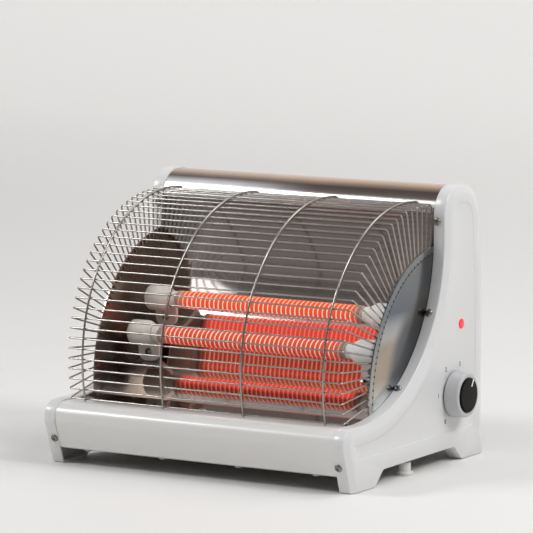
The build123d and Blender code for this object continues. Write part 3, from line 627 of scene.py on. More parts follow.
def bentSheet(name, profile, columns, thickness, skip=None):
    # profile is (y, z) from one edge to the other, with the outer face on its left
    points = [at(x, y, z) for x in columns for y, z in profile]
    rows = len(profile)
    faces = []
    for i in range(len(columns) - 1):
        for j in range(rows - 1):
            middleX = (columns[i] + columns[i + 1]) / 2
            middleY = (profile[j][0] + profile[j + 1][0]) / 2
            if skip and skip(middleX, middleY):
                continue
            a, b = i * rows + j, (i + 1) * rows + j
            faces.append((a, b, b + 1, a + 1))
    piece = meshPiece(name, points, faces, angle=30, outward=False)
    solid = piece.modifiers.new("Thickness", "SOLIDIFY")
    solid.thickness = thickness * 0.001
    solid.offset = -1.0
    edge = piece.modifiers.new("Edge", "BEVEL")
    edge.width = min(sheetPlan["edge"], thickness * sheetPlan["edgeShare"]) * 0.001
    edge.segments = 2
    edge.limit_method = "ANGLE"
    edge.angle_limit = radians(50)
    applyModifiers(piece)
    smoothShade(piece.data, angle=20)
    return piece


def crossing(first, second, axis, value):
    share = (value - first[axis]) / (second[axis] - first[axis])
    return tuple(a + (b - a) * share for a, b in zip(first, second))


def clipPath(path, axis, limit, way=1):
    # keeps what lies past the limit, and ends the path exactly at it
    kept = []
    for first, second in zip(path, path[1:]):
        starts, ends = (way * (point[axis] - limit) >= 0 for point in (first, second))
        if starts:
            kept.append(first)
        if starts != ends:
            kept.append(crossing(first, second, axis, limit))
    return kept + [path[-1]] if ends else kept


def coverProfile(p):
    start = sum(step + 1 for step in cornerSteps[:3]) - 1
    stop = sum(step + 1 for step in cornerSteps[:6])
    path = outlineLoop(p["coverInset"])[start:stop]
    front = [point for point in path if point[0] < p["coverMiddle"]]
    rear = [point for point in path if point[0] >= p["coverMiddle"]]
    return clipPath(front, 1, p["coverFrontLip"]) + clipPath(rear, 1, p["coverRearLip"])


def frontProfile(p):
    start = cornerSteps[0]
    path = outlineLoop(p["frontInset"])[start:start + cornerSteps[1] + 3]
    path = clipPath(clipPath(path, 1, p["frontFoot"]), 0, p["frontRear"], -1)
    flange = [
        (p["flangeFront"], path[-1][1] - p["flangeDrop"], 0.0),
        (p["flangeFront"], p["flangeHeight"], p["flangeBend"]), (p["flangeRear"], p["flangeHeight"], 0.0),
    ]
    return path + roundedPath(flange, (0, 4, 0), closed=False)


def evenColumns(p):
    return [p["half"] * (2 * i / p["columns"] - 1) for i in range(p["columns"] + 1)]


topSheet = bentSheet("topSheet", coverProfile(sheetPlan), evenColumns(sheetPlan), sheetPlan["cover"])
fit(topSheet, coverSteel, "heater", "polished_steel", "top_cover")
frontSheet = bentSheet("frontSheet", frontProfile(sheetPlan), evenColumns(sheetPlan), sheetPlan["front"])
fit(frontSheet, whitePaint, "heater", "white_paint", "front_panel")

reflectorPlan = {
    "topY": 23.0, "topZ": 262.0, "rise": 81.6, "slope": 28.3, "ledgeRear": -110.0, "ledgeHeight": 64.1,
    "bend": 130.0, "ledgeBend": 8.0, "ledgeFront": -153.6, "half": 165.7, "column": 60.0,
    "slotInner": 122.5, "slotOuter": 150.5, "slotFronts": (-56.2, -21.9), "slotRears": (-48.6, -14.2),
}


def reflectorPath(p):
    rise, slope = radians(p["rise"]), radians(p["slope"])
    high, deep = p["topZ"] - p["ledgeHeight"], p["topY"] - p["ledgeRear"]
    reach = (high * cos(rise) - deep * sin(rise)) / sin(slope - rise)
    corners = [
        (p["topY"], p["topZ"], 0.0),
        (p["ledgeRear"] + reach * cos(slope), p["ledgeHeight"] + reach * sin(slope), p["bend"]),
        (p["ledgeRear"], p["ledgeHeight"], p["ledgeBend"]), (p["ledgeFront"], p["ledgeHeight"], 0.0),
    ]
    path = roundedPath(corners, (0, 56, 8, 0), closed=False)
    for edge in p["slotFronts"] + p["slotRears"]:
        for i, (first, second) in enumerate(zip(path, path[1:])):
            if (first[0] - edge) * (second[0] - edge) < 0:
                path.insert(i + 1, crossing(first, second, 0, edge))
                break
    return path[::-1]


def inSlot(x, y):
    # the two slots at each end that the holders' lugs and strips pass through
    p = reflectorPlan
    beside = p["slotInner"] < abs(x) < p["slotOuter"]
    return beside and any(front < y < rear for front, rear in zip(p["slotFronts"], p["slotRears"]))


def reflectorColumns(p):
    half = [p[key] for key in ("column", "slotInner", "slotOuter", "half")]
    return [-x for x in reversed(half)] + [0] + half


reflectorShape = (reflectorPath(reflectorPlan), reflectorColumns(reflectorPlan), sheetPlan["reflector"], inSlot)
reflector = bentSheet("reflectorSheet", *reflectorShape)
fit(reflector, reflectorSheet, "heater", "reflector_sheet", "reflector")
print("sheets done")

# Geometry Nodes: repeated wires, coils and screws


def geo(tree, kind, values=None, **settings):
    return output(tree, "GeometryNode" + kind, values, **settings)


def combine(tree, **parts):
    return output(tree, "ShaderNodeCombineXYZ", parts)


def sums(tree, *operations):
    return [partial(calc, tree, operation) for operation in operations]


def startTree(name, **inputs):
    # inputs: the names of each kind, such as Float="Radius, Wire"
    tree = bpy.data.node_groups.new(name, "GeometryNodeTree")
    tree.interface.new_socket("Geometry", in_out="OUTPUT", socket_type="NodeSocketGeometry")
    for kind, labels in inputs.items():
        for label in labels.split(", "):
            tree.interface.new_socket(label, in_out="INPUT", socket_type="NodeSocket" + kind)
    return tree, tree.nodes.new("NodeGroupInput").outputs


def endTree(tree, geometry, given):
    smooth = geo(tree, "SetShadeSmooth", {0: geo(tree, "RealizeInstances", {0: geometry})})
    done = geo(tree, "SetMaterial", {0: smooth, "Material": given["Material"]})
    tree.links.new(done, tree.nodes.new("NodeGroupOutput").inputs[0])
    return tree


def growPiece(name, tree, values, finish):
    piece = newObject(name, bpy.data.meshes.new(name))
    modifier = piece.modifiers.new("Shape", "NODES")
    modifier.node_group = tree
    for item in tree.interface.items_tree:
        if item.in_out == "INPUT":
            modifier[item.identifier] = finish if item.name == "Material" else values[item.name]
    return applyModifiers(piece)


def copies(tree, points, pattern):
    placed = geo(tree, "InstanceOnPoints", {"Points": points, "Instance": pattern})
    return geo(tree, "RealizeInstances", {0: placed})


def tube(tree, curve, sides, wire, scale=(1.0, 1.0, 1.0)):
    profile = geo(tree, "CurvePrimitiveCircle", {"Resolution": sides, "Radius": wire})
    profile = geo(tree, "Transform", {"Geometry": profile, "Scale": scale})
    return geo(tree, "CurveToMesh", {"Curve": curve, "Profile Curve": profile, "Fill Caps": True})


guardPlan = {
    "Bars": 31, "Half": 0.1649, "Radius": 0.1662, "First": radians(-13.3), "Last": radians(97.2),
    "Plate Radius": 0.1515, "Lap": 0.006, "Bend": 0.0032, "Bend Steps": 7, "Wire": 0.0009, "Sides": 12,
}


def guardTree():
    tree, given = startTree(
        "guardBars", Int="Bars, Bend Steps, Sides", Float="Half, Radius, First, Last, Plate Radius, Lap, Bend, Wire",
        Vector="Centre, Plate", Material="Material",
    )
    add, subtract, multiply, divide = sums(tree, "ADD", "SUBTRACT", "MULTIPLY", "DIVIDE")
    # four corners for each bar: its two ends and its two bends
    chain = geo(tree, "MeshLine", {"Count": 4})
    chains = copies(tree, geo(tree, "MeshLine", {"Count": given["Bars"]}), chain)
    index = geo(tree, "InputIndex")
    bar = calc(tree, "FLOOR", divide(index, 4.0))
    fromMiddle = subtract(subtract(index, multiply(bar, 4.0)), 1.5)
    share = divide(bar, subtract(given["Bars"], 1.0))
    angle = add(given["First"], multiply(share, subtract(given["Last"], given["First"])))
    outY = multiply(calc(tree, "COSINE", angle), -1.0)
    outZ = calc(tree, "SINE", angle)
    # how far the bar's line runs before it meets the plate's curved edge
    centre = addNode(tree, "ShaderNodeSeparateXYZ", {0: given["Centre"]}).outputs
    plate = addNode(tree, "ShaderNodeSeparateXYZ", {0: given["Plate"]}).outputs
    offY, offZ = subtract(centre["Y"], plate["Y"]), subtract(centre["Z"], plate["Z"])
    half = add(multiply(outY, offY), multiply(outZ, offZ))
    apart = add(multiply(offY, offY), multiply(offZ, offZ))
    square = add(multiply(half, half), calc(tree, "POWER", given["Plate Radius"], 2.0))
    reach = subtract(calc(tree, "SQRT", subtract(square, apart)), half)
    atEnd = calc(tree, "GREATER_THAN", calc(tree, "ABSOLUTE", fromMiddle), 1.0)
    toEnd = subtract(subtract(reach, given["Lap"]), given["Radius"])
    radius = add(given["Radius"], multiply(atEnd, toEnd))
    spot = combine(
        tree, X=add(centre["X"], multiply(calc(tree, "SIGN", fromMiddle), given["Half"])),
        Y=add(centre["Y"], multiply(outY, radius)), Z=add(centre["Z"], multiply(outZ, radius)),
    )
    curves = geo(tree, "MeshToCurve", {0: geo(tree, "SetPosition", {"Geometry": chains, "Position": spot})})
    values = {"Curve": curves, "Count": given["Bend Steps"], "Radius": given["Bend"], "Limit Radius": True}
    bent = geo(tree, "FilletCurve", values, mode="POLY")
    return endTree(tree, tube(tree, bent, given["Sides"], given["Wire"]), given)


guardValues = {**guardPlan, "Centre": guardCentre, "Plate": plateCentre}
guardBars = growPiece("guardBars", guardTree(), guardValues, guardWire)
fit(guardBars, guardWire, "heater", "wire_chrome", "guard_wires")

hoopPlan = {
    "Hoops": 4, "Pitch": 0.09667, "Radius": 0.16820, "Start": radians(-15.0), "Sweep": radians(114.4), "Steps": 72,
    "Wire": 0.0011, "Sides": 12,
}


def hoopTree():
    tree, given = startTree(
        "guardHoops", Int="Hoops, Steps, Sides", Float="Pitch, Radius, Start, Sweep, Wire", Vector="Centre",
        Material="Material",
    )
    subtract, multiply = sums(tree, "SUBTRACT", "MULTIPLY")
    arc = geo(tree, "CurveArc", {
        "Resolution": given["Steps"], "Radius": given["Radius"], "Start Angle": given["Start"],
        "Sweep Angle": given["Sweep"],
    })
    # the arc is drawn flat, then stood up so that it starts in front and runs over the top
    stand = geo(tree, "Transform", {"Geometry": arc, "Rotation": (radians(90), 0.0, radians(-90))})
    spots = geo(tree, "MeshLine", {"Count": given["Hoops"], "Offset": combine(tree, X=given["Pitch"])})
    span = multiply(subtract(given["Hoops"], 1.0), multiply(given["Pitch"], -0.5))
    for offset in (combine(tree, X=span), given["Centre"]):
        spots = geo(tree, "SetPosition", {"Geometry": spots, "Offset": offset})
    return endTree(tree, tube(tree, copies(tree, spots, stand), given["Sides"], given["Wire"]), given)


guardHoops = growPiece("guardHoops", hoopTree(), {**hoopPlan, "Centre": guardCentre}, guardWire)
fit(guardHoops, guardWire, "heater", "wire_chrome", "guard_arches")
print("guard done")

coilPlan = {
    "Turns": 41.0, "Half": 0.1135, "Radius": 0.0078, "Wire": 0.0019, "Width": 1.22, "Turned": 0.0, "Uneven": 0.0005,
    "Grain": 260.0, "Points": 30, "Sides": 10,
}
ridgePlan = {**coilPlan, "Radius": 0.0080, "Wire": 0.0014, "Turned": pi, "Sides": 8}
ridgeWidth = {"upper": 0.42, "lower": 0.38}
rodShape = {
    "radius": 7.3, "half": 146.0, "end": 6.6, "step": 114.6, "collar": 8.5, "collarStart": 115.1,
    "collarEnd": 125.8, "steps": 56,
}
rodPlaces = {"lower": (-64.1, 125.7), "upper": (-29.8, 158.8)}


def helixTree():
    tree, given = startTree(
        "woundCoil", Float="Turns, Half, Radius, Wire, Width, Turned, Uneven, Grain", Int="Points, Sides",
        Vector="Centre", Material="Material",
    )
    subtract, multiply = sums(tree, "SUBTRACT", "MULTIPLY")
    helix = geo(tree, "CurveSpiral", {
        "Resolution": given["Points"], "Rotations": given["Turns"], "Start Radius": given["Radius"],
        "End Radius": given["Radius"], "Height": multiply(given["Half"], 2.0),
    })
    length = addNode(tree, "GeometryNodeSplineParameter").outputs["Length"]
    helix = geo(tree, "StoreNamedAttribute", {"Geometry": helix, "Name": "along", "Value": length}, domain="POINT")
    # hand-wound look: each turn wanders a little along the rod
    noise = output(tree, "ShaderNodeTexNoise", {"Scale": given["Grain"], "Detail": 2.0})
    wander = multiply(multiply(subtract(noise, 0.5), given["Uneven"]), 2.0)
    helix = geo(tree, "SetPosition", {"Geometry": helix, "Offset": combine(tree, Z=wander)})
    helix = geo(tree, "SetCurveNormal", {"Curve": helix}, mode="Z_UP")
    coil = tube(tree, helix, given["Sides"], given["Wire"], combine(tree, X=1.0, Y=given["Width"], Z=1.0))
    coil = geo(tree, "Transform", {
        "Geometry": coil, "Translation": combine(tree, Z=multiply(given["Half"], -1.0)),
        "Rotation": combine(tree, Z=given["Turned"]),
    })
    turned = {"Geometry": coil, "Rotation": (0.0, radians(90), 0.0), "Translation": given["Centre"]}
    return endTree(tree, geo(tree, "Transform", turned), given)


def rodCore(name, centre, p):
    half = [
        (0, p["half"]), (p["end"] - 0.5, p["half"]), (p["end"], p["half"] - 0.5), (p["end"], p["step"] + 0.3),
        (p["radius"], p["step"] - 0.2),
    ]
    profile = half + [(radius, -reach) for radius, reach in reversed(half)]
    return lathe(name, profile, centre, (1, 0, 0), p["steps"])


def rodCollar(name, centre, side, p):
    r, start, end = p["collar"], p["collarStart"], p["collarEnd"]
    profile = [
        (p["end"], start), (r - 0.8, start), (r - 0.2, start + 0.3), (r, start + 0.9), (r, start + 3.0),
        (r - 0.35, start + 3.5), (r, start + 4.0), (r, end - 0.6), (r - 0.5, end), (p["end"], end),
        (p["end"], start),
    ]
    return lathe(name, profile, centre, (side, 0, 0), p["steps"])


holderPlan = {
    "inner": 123.0, "length": 28.0, "radius": 13.5, "rim": 9.7, "taper": 6.2, "mouth": 9.2, "mouthDepth": 6.0,
    "bore": 6.75, "pin": 2.5, "wall": 3.6, "lugCentre": 136.5, "lugWidth": 26.0, "lugFront": 9.0, "lugBack": 13.5,
    "lugDrop": 31.5, "lugCorner": 10.0, "lugSteps": 10, "lugEdge": 0.5, "steps": 72, "sharp": 32,
}


def holderCup(p):
    # (radius, distance from the mouth) round the cup, from its bore over the rim to the closed end
    r, end, deep = p["radius"], p["length"], p["length"] - p["wall"]
    return [
        (p["bore"], deep), (p["bore"], p["mouthDepth"] + 0.3), (p["bore"] + 0.3, p["mouthDepth"]),
        (p["mouth"], p["mouthDepth"]), (p["mouth"], 0.3), (p["mouth"] + 0.12, 0.05), (p["rim"] - 0.05, 0.0),
        (p["rim"] + 0.35, 0.25), (p["rim"] + 1.2, 1.5), (r - 0.75, p["taper"] - 1.0), (r - 0.2, p["taper"] - 0.1),
        (r, p["taper"] + 0.9), (r, end - 4.0), (r - 0.3, end - 2.4), (r - 1.15, end - 1.1), (r - 2.4, end - 0.3),
        (r - 4.0, end), (p["pin"], end), (p["pin"], deep), (p["bore"], deep),
    ]


def lugOutline(p, inset):
    half, bend = p["lugWidth"] / 2 - inset, p["lugCorner"] - inset
    foot = inset - p["lugDrop"]
    points = [(-half, 0.0)]
    for side, first in ((-1, 180), (1, 270)):
        for i in range(p["lugSteps"] + 1):
            turn = radians(first + 90 * i / p["lugSteps"])
            points.append((side * (half - bend) + bend * cos(turn), foot + bend + bend * sin(turn)))
    return points + [(half, 0.0)]


def holderPiece(name, side, y, z, p):
    cup = lathe(name, holderCup(p), at(side * p["inner"], y, z), (side, 0, 0), p["steps"], p["sharp"])
    front, back, edge = p["lugFront"], p["lugBack"], p["lugEdge"]
    points = []
    rings = ringsOf(points, [
        [at(side * p["lugCentre"] + x, y + depth, z + drop) for x, drop in lugOutline(p, inset)]
        for depth, inset in ((front, edge), (front + edge, 0.0), (back - edge, 0.0), (back, edge))
    ])
    lug = meshPiece(name + "Lug", points, ringFaces(rings) + [tuple(rings[0]), tuple(rings[-1])], p["sharp"])
    joined = bmesh.new()
    for piece in (cup, lug):
        joined.from_mesh(piece.data)
    joined.to_mesh(cup.data)
    joined.free()
    bpy.data.objects.remove(lug)
    smoothShade(cup.data, p["sharp"])
    return cup


woundCoil = helixTree()
for rodName, (y, z) in rodPlaces.items():
    centre = at(0, y, z)
    coilFinish, ridgeFinish = rodFinish[rodName + "Coil"], rodFinish[rodName + "Ridge"]
    coil = growPiece(rodName + "Coil", woundCoil, {**coilPlan, "Centre": centre}, coilFinish)
    fit(coil, coilFinish, "heater", "heating_wire", "winding_" + rodName)
    ridgeValues = {**ridgePlan, "Width": ridgeWidth[rodName], "Centre": centre}
    ridge = growPiece(rodName + "Ridge", woundCoil, ridgeValues, ridgeFinish)
    fit(ridge, ridgeFinish, "heater", "rod_ceramic")
    fit(rodCore(rodName + "Core", centre, rodShape), coreCeramic, "heater", "rod_ceramic", "rod_" + rodName)
    # left holders and collars take a darker cream copy of the same ceramic: painted shade
    for side, hand, finish in ((-1, "left", creamShadedCeramic), (1, "right", whiteCeramic)):
        fit(rodCollar(rodName + "Collar_" + hand, centre, side, rodShape), finish, "heater", "rod_ceramic")
        cup = holderPiece(rodName + "Holder_" + hand, side, y, z, holderPlan)
        fit(cup, finish, "heater", "holder_ceramic", "holder_" + rodName + "_" + hand)
print("rods and holders done")

# Knob, lamp and plunger, turned on a lathe

knobPlan = {
    "y": 37.0, "z": 72.0, "back": 184.0, "pointerAngle": 61.0, "pointerReach": 13.7, "pointerHalf": 3.0,
    "pointerWidth": 1.1, "pointerHeights": (16.85, 17.16), "pointerSteps": 16,
}
knobOrigin = at(knobPlan["back"], knobPlan["y"], knobPlan["z"])
knobProfile = [
    (5.8, 3.2), (5.8, 11.6), (21.0, 11.6), (21.9, 10.8), (22.1, 0.5), (22.5, 0.05), (23.9, 0.05), (24.25, 0.4),
    (24.28, 1.0), (23.35, 13.2), (23.1, 14.3), (22.4, 15.1), (21.4, 15.45), (19.4, 15.45), (18.6, 15.2),
    (18.35, 14.7), (18.3, 14.1), (3.1, 14.1), (3.1, 3.2), (5.8, 3.2),
]
knob = lathe("knobShell", knobProfile, knobOrigin, (1, 0, 0), steps=96, angle=40)
fit(knob, knobPlastic, "knob", "white_plastic", "knob_body")
capProfile = [(0, 14.2), (18.1, 14.2), (18.1, 16.3), (17.9, 16.8), (17.4, 17.05), (16.5, 17.1), (0, 17.1)]
cap = lathe("knobDisc", capProfile, knobOrigin, (1, 0, 0), steps=96, angle=40)
fit(cap, blackGloss, "knob", "black_plastic", "knob_cap")


def pointerLine(p):
    turn, steps, half, width = radians(p["pointerAngle"]), p["pointerSteps"], p["pointerHalf"], p["pointerWidth"]
    along = Vector((0, cos(turn), sin(turn)))
    across = Vector((0, -sin(turn), cos(turn)))
    loops = []
    for height in p["pointerHeights"]:
        loop = []
        for i in range(steps):
            bend = 2 * pi * i / steps
            reach = p["pointerReach"] + (half if cos(bend) > 0 else -half) + width * cos(bend)
            offset = along * reach + across * width * sin(bend)
            loop.append(knobOrigin + (offset + Vector((height, 0, 0))) * 0.001)
        loops.append(loop)
    points = []
    rings = ringsOf(points, loops)
    return meshPiece("knobPointer", points, [rings[0][::-1], rings[1]] + ringFaces(rings))


fit(pointerLine(knobPlan), whitePrint, "knob", "white_print", "knob_pointer")

lampOrigin = at(182.3, 53.0, 144.0)
lensProfile = [
    (0, 0.05), (5.35, 0.05), (5.35, 0.5), (5.1, 0.8), (4.7, 0.9), (4.3, 1.1), (3.0, 1.32), (1.5, 1.42), (0, 1.45),
]
lens = lathe("lampLens", lensProfile, lampOrigin, (1, 0, 0), steps=48, angle=60)
fit(lens, redLens, "heater", "red_lens", "lamp_lens")

plungerOrigin = at(173.6, -52.0, 0)
plungerProfile = [
    (0, 0), (8.4, 0), (8.8, 0.15), (9.0, 0.6), (9.0, 2.7), (8.7, 3.5), (8.0, 4.0), (6.9, 4.05), (6.5, 4.5),
    (6.5, 13.0), (6.1, 13.5), (3.0, 13.6), (3.0, 25.5), (4.5, 25.5), (4.5, 26.9), (3.0, 26.9), (3.0, 61.5),
    (2.5, 62), (0, 62),
]
plunger = lathe("plungerFoot", plungerProfile, plungerOrigin, (0, 0, 1), steps=48, angle=40)
fit(plunger, footPlastic, "plunger", "foot_plastic", "tip_plunger")
print("knob, lamp and plunger done")

# Dial numbers printed round the knob

dialPlan = {
    "face": 182.35, "radius": 32.5, "size": 0.0066, "raised": 0.00003, "bolder": 0.00018,
    "marks": {"3": 66.0, "2": 121.0, "1": 176.0, "0": 236.0},
}


def dialNumber(label, angle, p):
    text = bpy.data.curves.new("dial" + label, "FONT")
    text.body = label
    text.size = p["size"]
    text.align_x = "CENTER"
    text.align_y = "CENTER"
    text.extrude = p["raised"]
    text.offset = p["bolder"]
    holder = newObject("dialText" + label, text)
    mesh = bpy.data.meshes.new_from_object(holder.evaluated_get(bpy.context.evaluated_depsgraph_get()))
    bpy.data.objects.remove(holder)
    turn = radians(angle)
    spot = at(p["face"], knobPlan["y"] + p["radius"] * cos(turn), knobPlan["z"] + p["radius"] * sin(turn))
    upright = Matrix(((0, 0, 1, 0), (1, 0, 0, 0), (0, 1, 0, 0), (0, 0, 0, 1)))
    mesh.transform(Matrix.Translation(spot) @ upright)
    return newObject("dialNumber" + label, mesh)


for label, angle in dialPlan["marks"].items():
    fit(dialNumber(label, angle, dialPlan), greyPrint, "heater", "black_plastic")
print("dial done")

# Screws: one head, set by its facing on every seat

screwPlan = {
    "head": 4.2, "height": 2.3, "shank": 1.9, "length": 8.0, "slotLength": 0.0042, "slotWidth": 0.0009,
    "slotDepth": 0.002, "rim": 171.3, "low": 27.5, "sweep": (-59.0, -26.3), "high": 254.0, "lugDrop": 21.5,
    "ledgeY": -140.0, "ledge": (-155.0, -16.0, 155.0),
}


def rimSeats(p):
    seats = []
    for x in (-p["rim"], p["rim"]):
        toeY = outlinePlan["toeFront"] - p["low"] * tan(leanAngle)
        seats.append(((x, toeY, p["low"]), (0, -cos(leanAngle), -sin(leanAngle))))
        for angle in p["sweep"]:
            y, z = cos(radians(angle)), sin(radians(angle))
            seats.append(((x, sweepY + sweepRadius * y, sweepZ + sweepRadius * z), (0, -y, -z)))
        seats.append(((x, outlinePlan["neckFront"], p["high"]), (0, -1, 0)))
    return seats


def holderSeats(p):
    seats = []
    for side in (-1, 1):
        for y, z in rodPlaces.values():
            spot = (side * holderPlan["lugCentre"], y + holderPlan["lugFront"], z - p["lugDrop"])
            seats.append((spot, (0, -1, 0)))
    return seats


def ledgeSeats(p):
    return [((x, p["ledgeY"], reflectorPlan["ledgeHeight"]), (0, 0, 1)) for x in p["ledge"]]


def screwPattern(p):
    head, shank, end = p["head"], p["shank"], -p["length"]
    profile = [
        (0, end), (shank * 0.6, end), (shank, end + 1.2), (shank, 0.1), (head - 0.1, 0.1), (head, 0.35),
        (head - 0.15, 1.0), (head - 0.8, 1.75), (head - 2.0, 2.2), (1.0, p["height"] + 0.1), (0, p["height"] + 0.1),
    ]
    pattern = lathe("screwPattern", profile, Vector(), (0, 0, 1), steps=24, angle=40)
    cross = bpy.data.meshes.new("crossSlot")
    bench = bmesh.new()
    for sizes in ((p["slotLength"], p["slotWidth"]), (p["slotWidth"], p["slotLength"])):
        made = bmesh.ops.create_cube(bench, size=1.0)
        bmesh.ops.scale(bench, vec=(*sizes, p["slotDepth"]), verts=made["verts"])
        bmesh.ops.translate(bench, vec=(0, 0, p["height"] * 0.001), verts=made["verts"])
    bench.to_mesh(cross)
    bench.free()
    cutter = newObject("crossSlot", cross)
    cut = pattern.modifiers.new("Slot", "BOOLEAN")
    cut.operation = "DIFFERENCE"
    cut.use_self = True
    cut.object = cutter
    applyModifiers(pattern)
    bpy.data.objects.remove(cutter)
    return pattern


def screwTree():
    tree, given = startTree("setScrews", Object="Seats, Pattern", Material="Material")
    seats, pattern = (
        addNode(tree, "GeometryNodeObjectInfo", {"Object": given[name]}).outputs["Geometry"]
        for name in ("Seats", "Pattern")
    )
    facing = geo(tree, "InputNamedAttribute", {"Name": "facing"}, data_type="FLOAT_VECTOR")
    turned = output(tree, "FunctionNodeAlignRotationToVector", {"Vector": facing}, axis="Z")
    screws = geo(tree, "InstanceOnPoints", {"Points": seats, "Instance": pattern, "Rotation": turned})
    return endTree(tree, screws, given)


setScrews = screwTree()


def screwSet(name, pattern, seats, finish, *replaced):
    seatMesh = bpy.data.meshes.new(name + "Seats")
    seatMesh.from_pydata([tuple(at(*place)) for place, _ in seats], [], [])
    facing = seatMesh.attributes.new("facing", "FLOAT_VECTOR", "POINT")
    for i, (_, way) in enumerate(seats):
        facing.data[i].vector = way
    carrier = newObject(name + "Seats", seatMesh)
    piece = growPiece(name, setScrews, {"Seats": carrier, "Pattern": pattern}, finish)
    bpy.data.objects.remove(carrier)
    smoothShade(piece.data)
    fit(piece, finish, "heater", "zinc_steel", *replaced)


pattern = screwPattern(screwPlan)
screwSet("rimScrews", pattern, rimSeats(screwPlan), screwSteel, "rim_screws")
screwSet("holderScrews", pattern, holderSeats(screwPlan), screwSteel, "holder_screws")
screwSet("ledgeScrews", pattern, ledgeSeats(screwPlan), screwSteel, "ledge_screws")
bpy.data.objects.remove(pattern)

weldPlan = {"radius": 1.35, "height": 0.3, "root": -0.85, "in": 7.3, "plane": 167.7, "clear": 3.0}


def weldSeats(p):
    # spots on the right plate's outer face where the bars' ends are welded to it
    g = guardPlan
    seats = []
    offY, offZ = guardCentre.y - plateCentre.y, guardCentre.z - plateCentre.z
    for i in range(g["Bars"]):
        angle = g["First"] + (g["Last"] - g["First"]) * i / (g["Bars"] - 1)
        outY, outZ = -cos(angle), sin(angle)
        half = outY * offY + outZ * offZ
        reach = sqrt(half * half - offY * offY - offZ * offZ + g["Plate Radius"] ** 2) - half
        y, z = outY * (reach * 1000 - p["in"]), guardHeight + outZ * (reach * 1000 - p["in"])
        if hypot(y - sweepY, z - sweepZ) < sweepRadius - p["clear"]:
            seats.append(((p["plane"], y, z), (1, 0, 0)))
    return seats


def weldPattern(p):
    radius, root, height = p["radius"], p["root"], p["height"]
    profile = [(0, root), (radius, root), (radius, 0.0), (radius * 0.75, height * 0.8), (0, height)]
    return lathe("weldSpot", profile, Vector(), (0, 0, 1), steps=16, angle=60)


weldSpot = weldPattern(weldPlan)
screwSet("weldSpots", weldSpot, weldSeats(weldPlan), weldSteel)
bpy.data.objects.remove(weldSpot)
print("screws done")

# Floor, light and camera

cameraPlan = {
    "place": (2124.88, -3528.2, 750.77), "yaw": 31.332, "pitch": 7.643, "roll": -0.187, "focal": 3944.1,
    "frame": 533.0, "sensor": 36.0, "far": 50.0,
}


def addCamera(p):
    yaw, pitch, roll = (radians(p[key]) for key in ("yaw", "pitch", "roll"))
    forward = Vector((-sin(yaw) * cos(pitch), cos(yaw) * cos(pitch), -sin(pitch)))
    level = Vector((cos(yaw), sin(yaw), 0))
    rise = level.cross(forward)
    right = level * cos(roll) + rise * sin(roll)
    up = -level * sin(roll) + rise * cos(roll)
    data = bpy.data.cameras.new("photoView")
    data.sensor_width = p["sensor"]
    data.lens = p["focal"] / p["frame"] * p["sensor"]
    data.clip_end = p["far"]
    camera = newObject("photoView", data)
    turned = Matrix((right, up, -forward)).transposed().to_4x4()
    camera.matrix_world = Matrix.Translation(at(*p["place"])) @ turned
    bpy.context.scene.camera = camera


lampPlan = {
    "keyLamp": {"place": (2.2, 0.1, 2.1), "size": (0.9, 0.9), "watts": 33},
    "frontLamp": {"place": (-2.44, -1.72, 2.6), "size": (0.9, 0.7), "watts": 48},
    "glintLamp": {
        "place": (-0.60, -0.61, 0.49), "target": (-0.12, 0.046, 0.17), "size": (0.10, 0.16), "watts": 0.15,
        "color": (0.92, 0.96, 1.0),
    },
    "backLamp": {"place": (0.9, 1.2, 2.4), "size": (1.2, 0.8), "watts": 18},
}


def areaLamp(name, place, size, watts, target=(0, 0, 0.15), color=(1, 1, 1)):
    data = bpy.data.lights.new(name, "AREA")
    data.shape = "RECTANGLE"
    data.size, data.size_y = size
    data.energy = watts
    data.color = color
    way = (Vector(target) - Vector(place)).to_track_quat("-Z", "Y")
    newObject(name, data).matrix_world = Matrix.Translation(Vector(place)) @ way.to_matrix().to_4x4()


studioPlan = {
    "front": -14.0, "bend": 3.1, "radius": 1.9, "height": 7.0, "half": 14.0, "steps": 24,
    "color": (0.80, 0.785, 0.765), "paleFrom": 0.3, "paleTo": 4.6, "pale": 0.5, "skyColor": (0.98, 0.98, 1.0, 1.0),
    "sky": [(0.0, 0.34), (0.34, 0.20), (0.5, 0.30), (0.68, 0.62), (0.90, 0.62), (1.0, 0.24)],
}


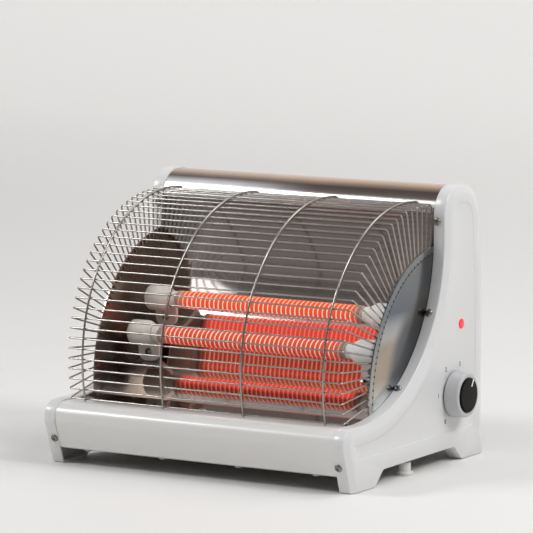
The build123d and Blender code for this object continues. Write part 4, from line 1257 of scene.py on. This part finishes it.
def backdropMaterial(p):
    # paler towards the wall for the camera and for mirrors, with no more light on the heater
    material = surface("paleFloor", p["color"], 0.65, vary=0.008, bump=0.0)
    tree = material.node_tree
    path = addNode(tree, "ShaderNodeLightPath").outputs
    seen = calc(tree, "MAXIMUM", path["Is Camera Ray"], path["Is Glossy Ray"])
    seen = calc(tree, "MAXIMUM", seen, path["Is Transmission Ray"])
    pale = remap(tree, coordinate(tree, "Y"), p["paleFrom"], p["paleTo"], 0.0, p["pale"], "SMOOTHSTEP")
    glow = {"Emission Strength": calc(tree, "MULTIPLY", seen, pale), "Emission Color": (*p["color"], 1.0)}
    feed(tree, tree.nodes["Principled BSDF"], glow)
    return material


def addBackdrop(p):
    # pale floor that curves up behind the heater
    profile = [(p["front"], 0.0)]
    for i in range(p["steps"] + 1):
        turn = radians(90) * i / p["steps"]
        profile.append((p["bend"] + p["radius"] * sin(turn), p["radius"] * (1 - cos(turn))))
    profile.append((p["bend"] + p["radius"], p["height"]))
    points = [(x, y, z) for x in (-p["half"], p["half"]) for y, z in profile]
    count = len(profile)
    faces = [(i, count + i, count + i + 1, i + 1) for i in range(count - 1)]
    floor = meshPiece("paleFloor", points, faces, 60, outward=False)
    paint(floor, backdropMaterial(p))


def addWorld(p):
    # a soft ring of light part of the way up, darker at the horizon and overhead
    world = bpy.data.worlds.new("softStudio")
    world.use_nodes = True
    bpy.context.scene.world = world
    tree = world.node_tree
    way = addNode(tree, "ShaderNodeTexCoord").outputs["Generated"]
    height = addNode(tree, "ShaderNodeSeparateXYZ", {0: way}).outputs["Z"]
    light = toneRamp(tree, height, [(place, (level,) * 3) for place, level in p["sky"]], "EASE")
    feed(tree, tree.nodes["Background"], {"Color": p["skyColor"], "Strength": light})


addBackdrop(studioPlan)
addWorld(studioPlan)
for lampName, lampValues in lampPlan.items():
    areaLamp(lampName, **lampValues)
addCamera(cameraPlan)
bpy.context.scene.view_settings.view_transform = "Standard"
print("studio done")

bpy.context.view_layer.update()
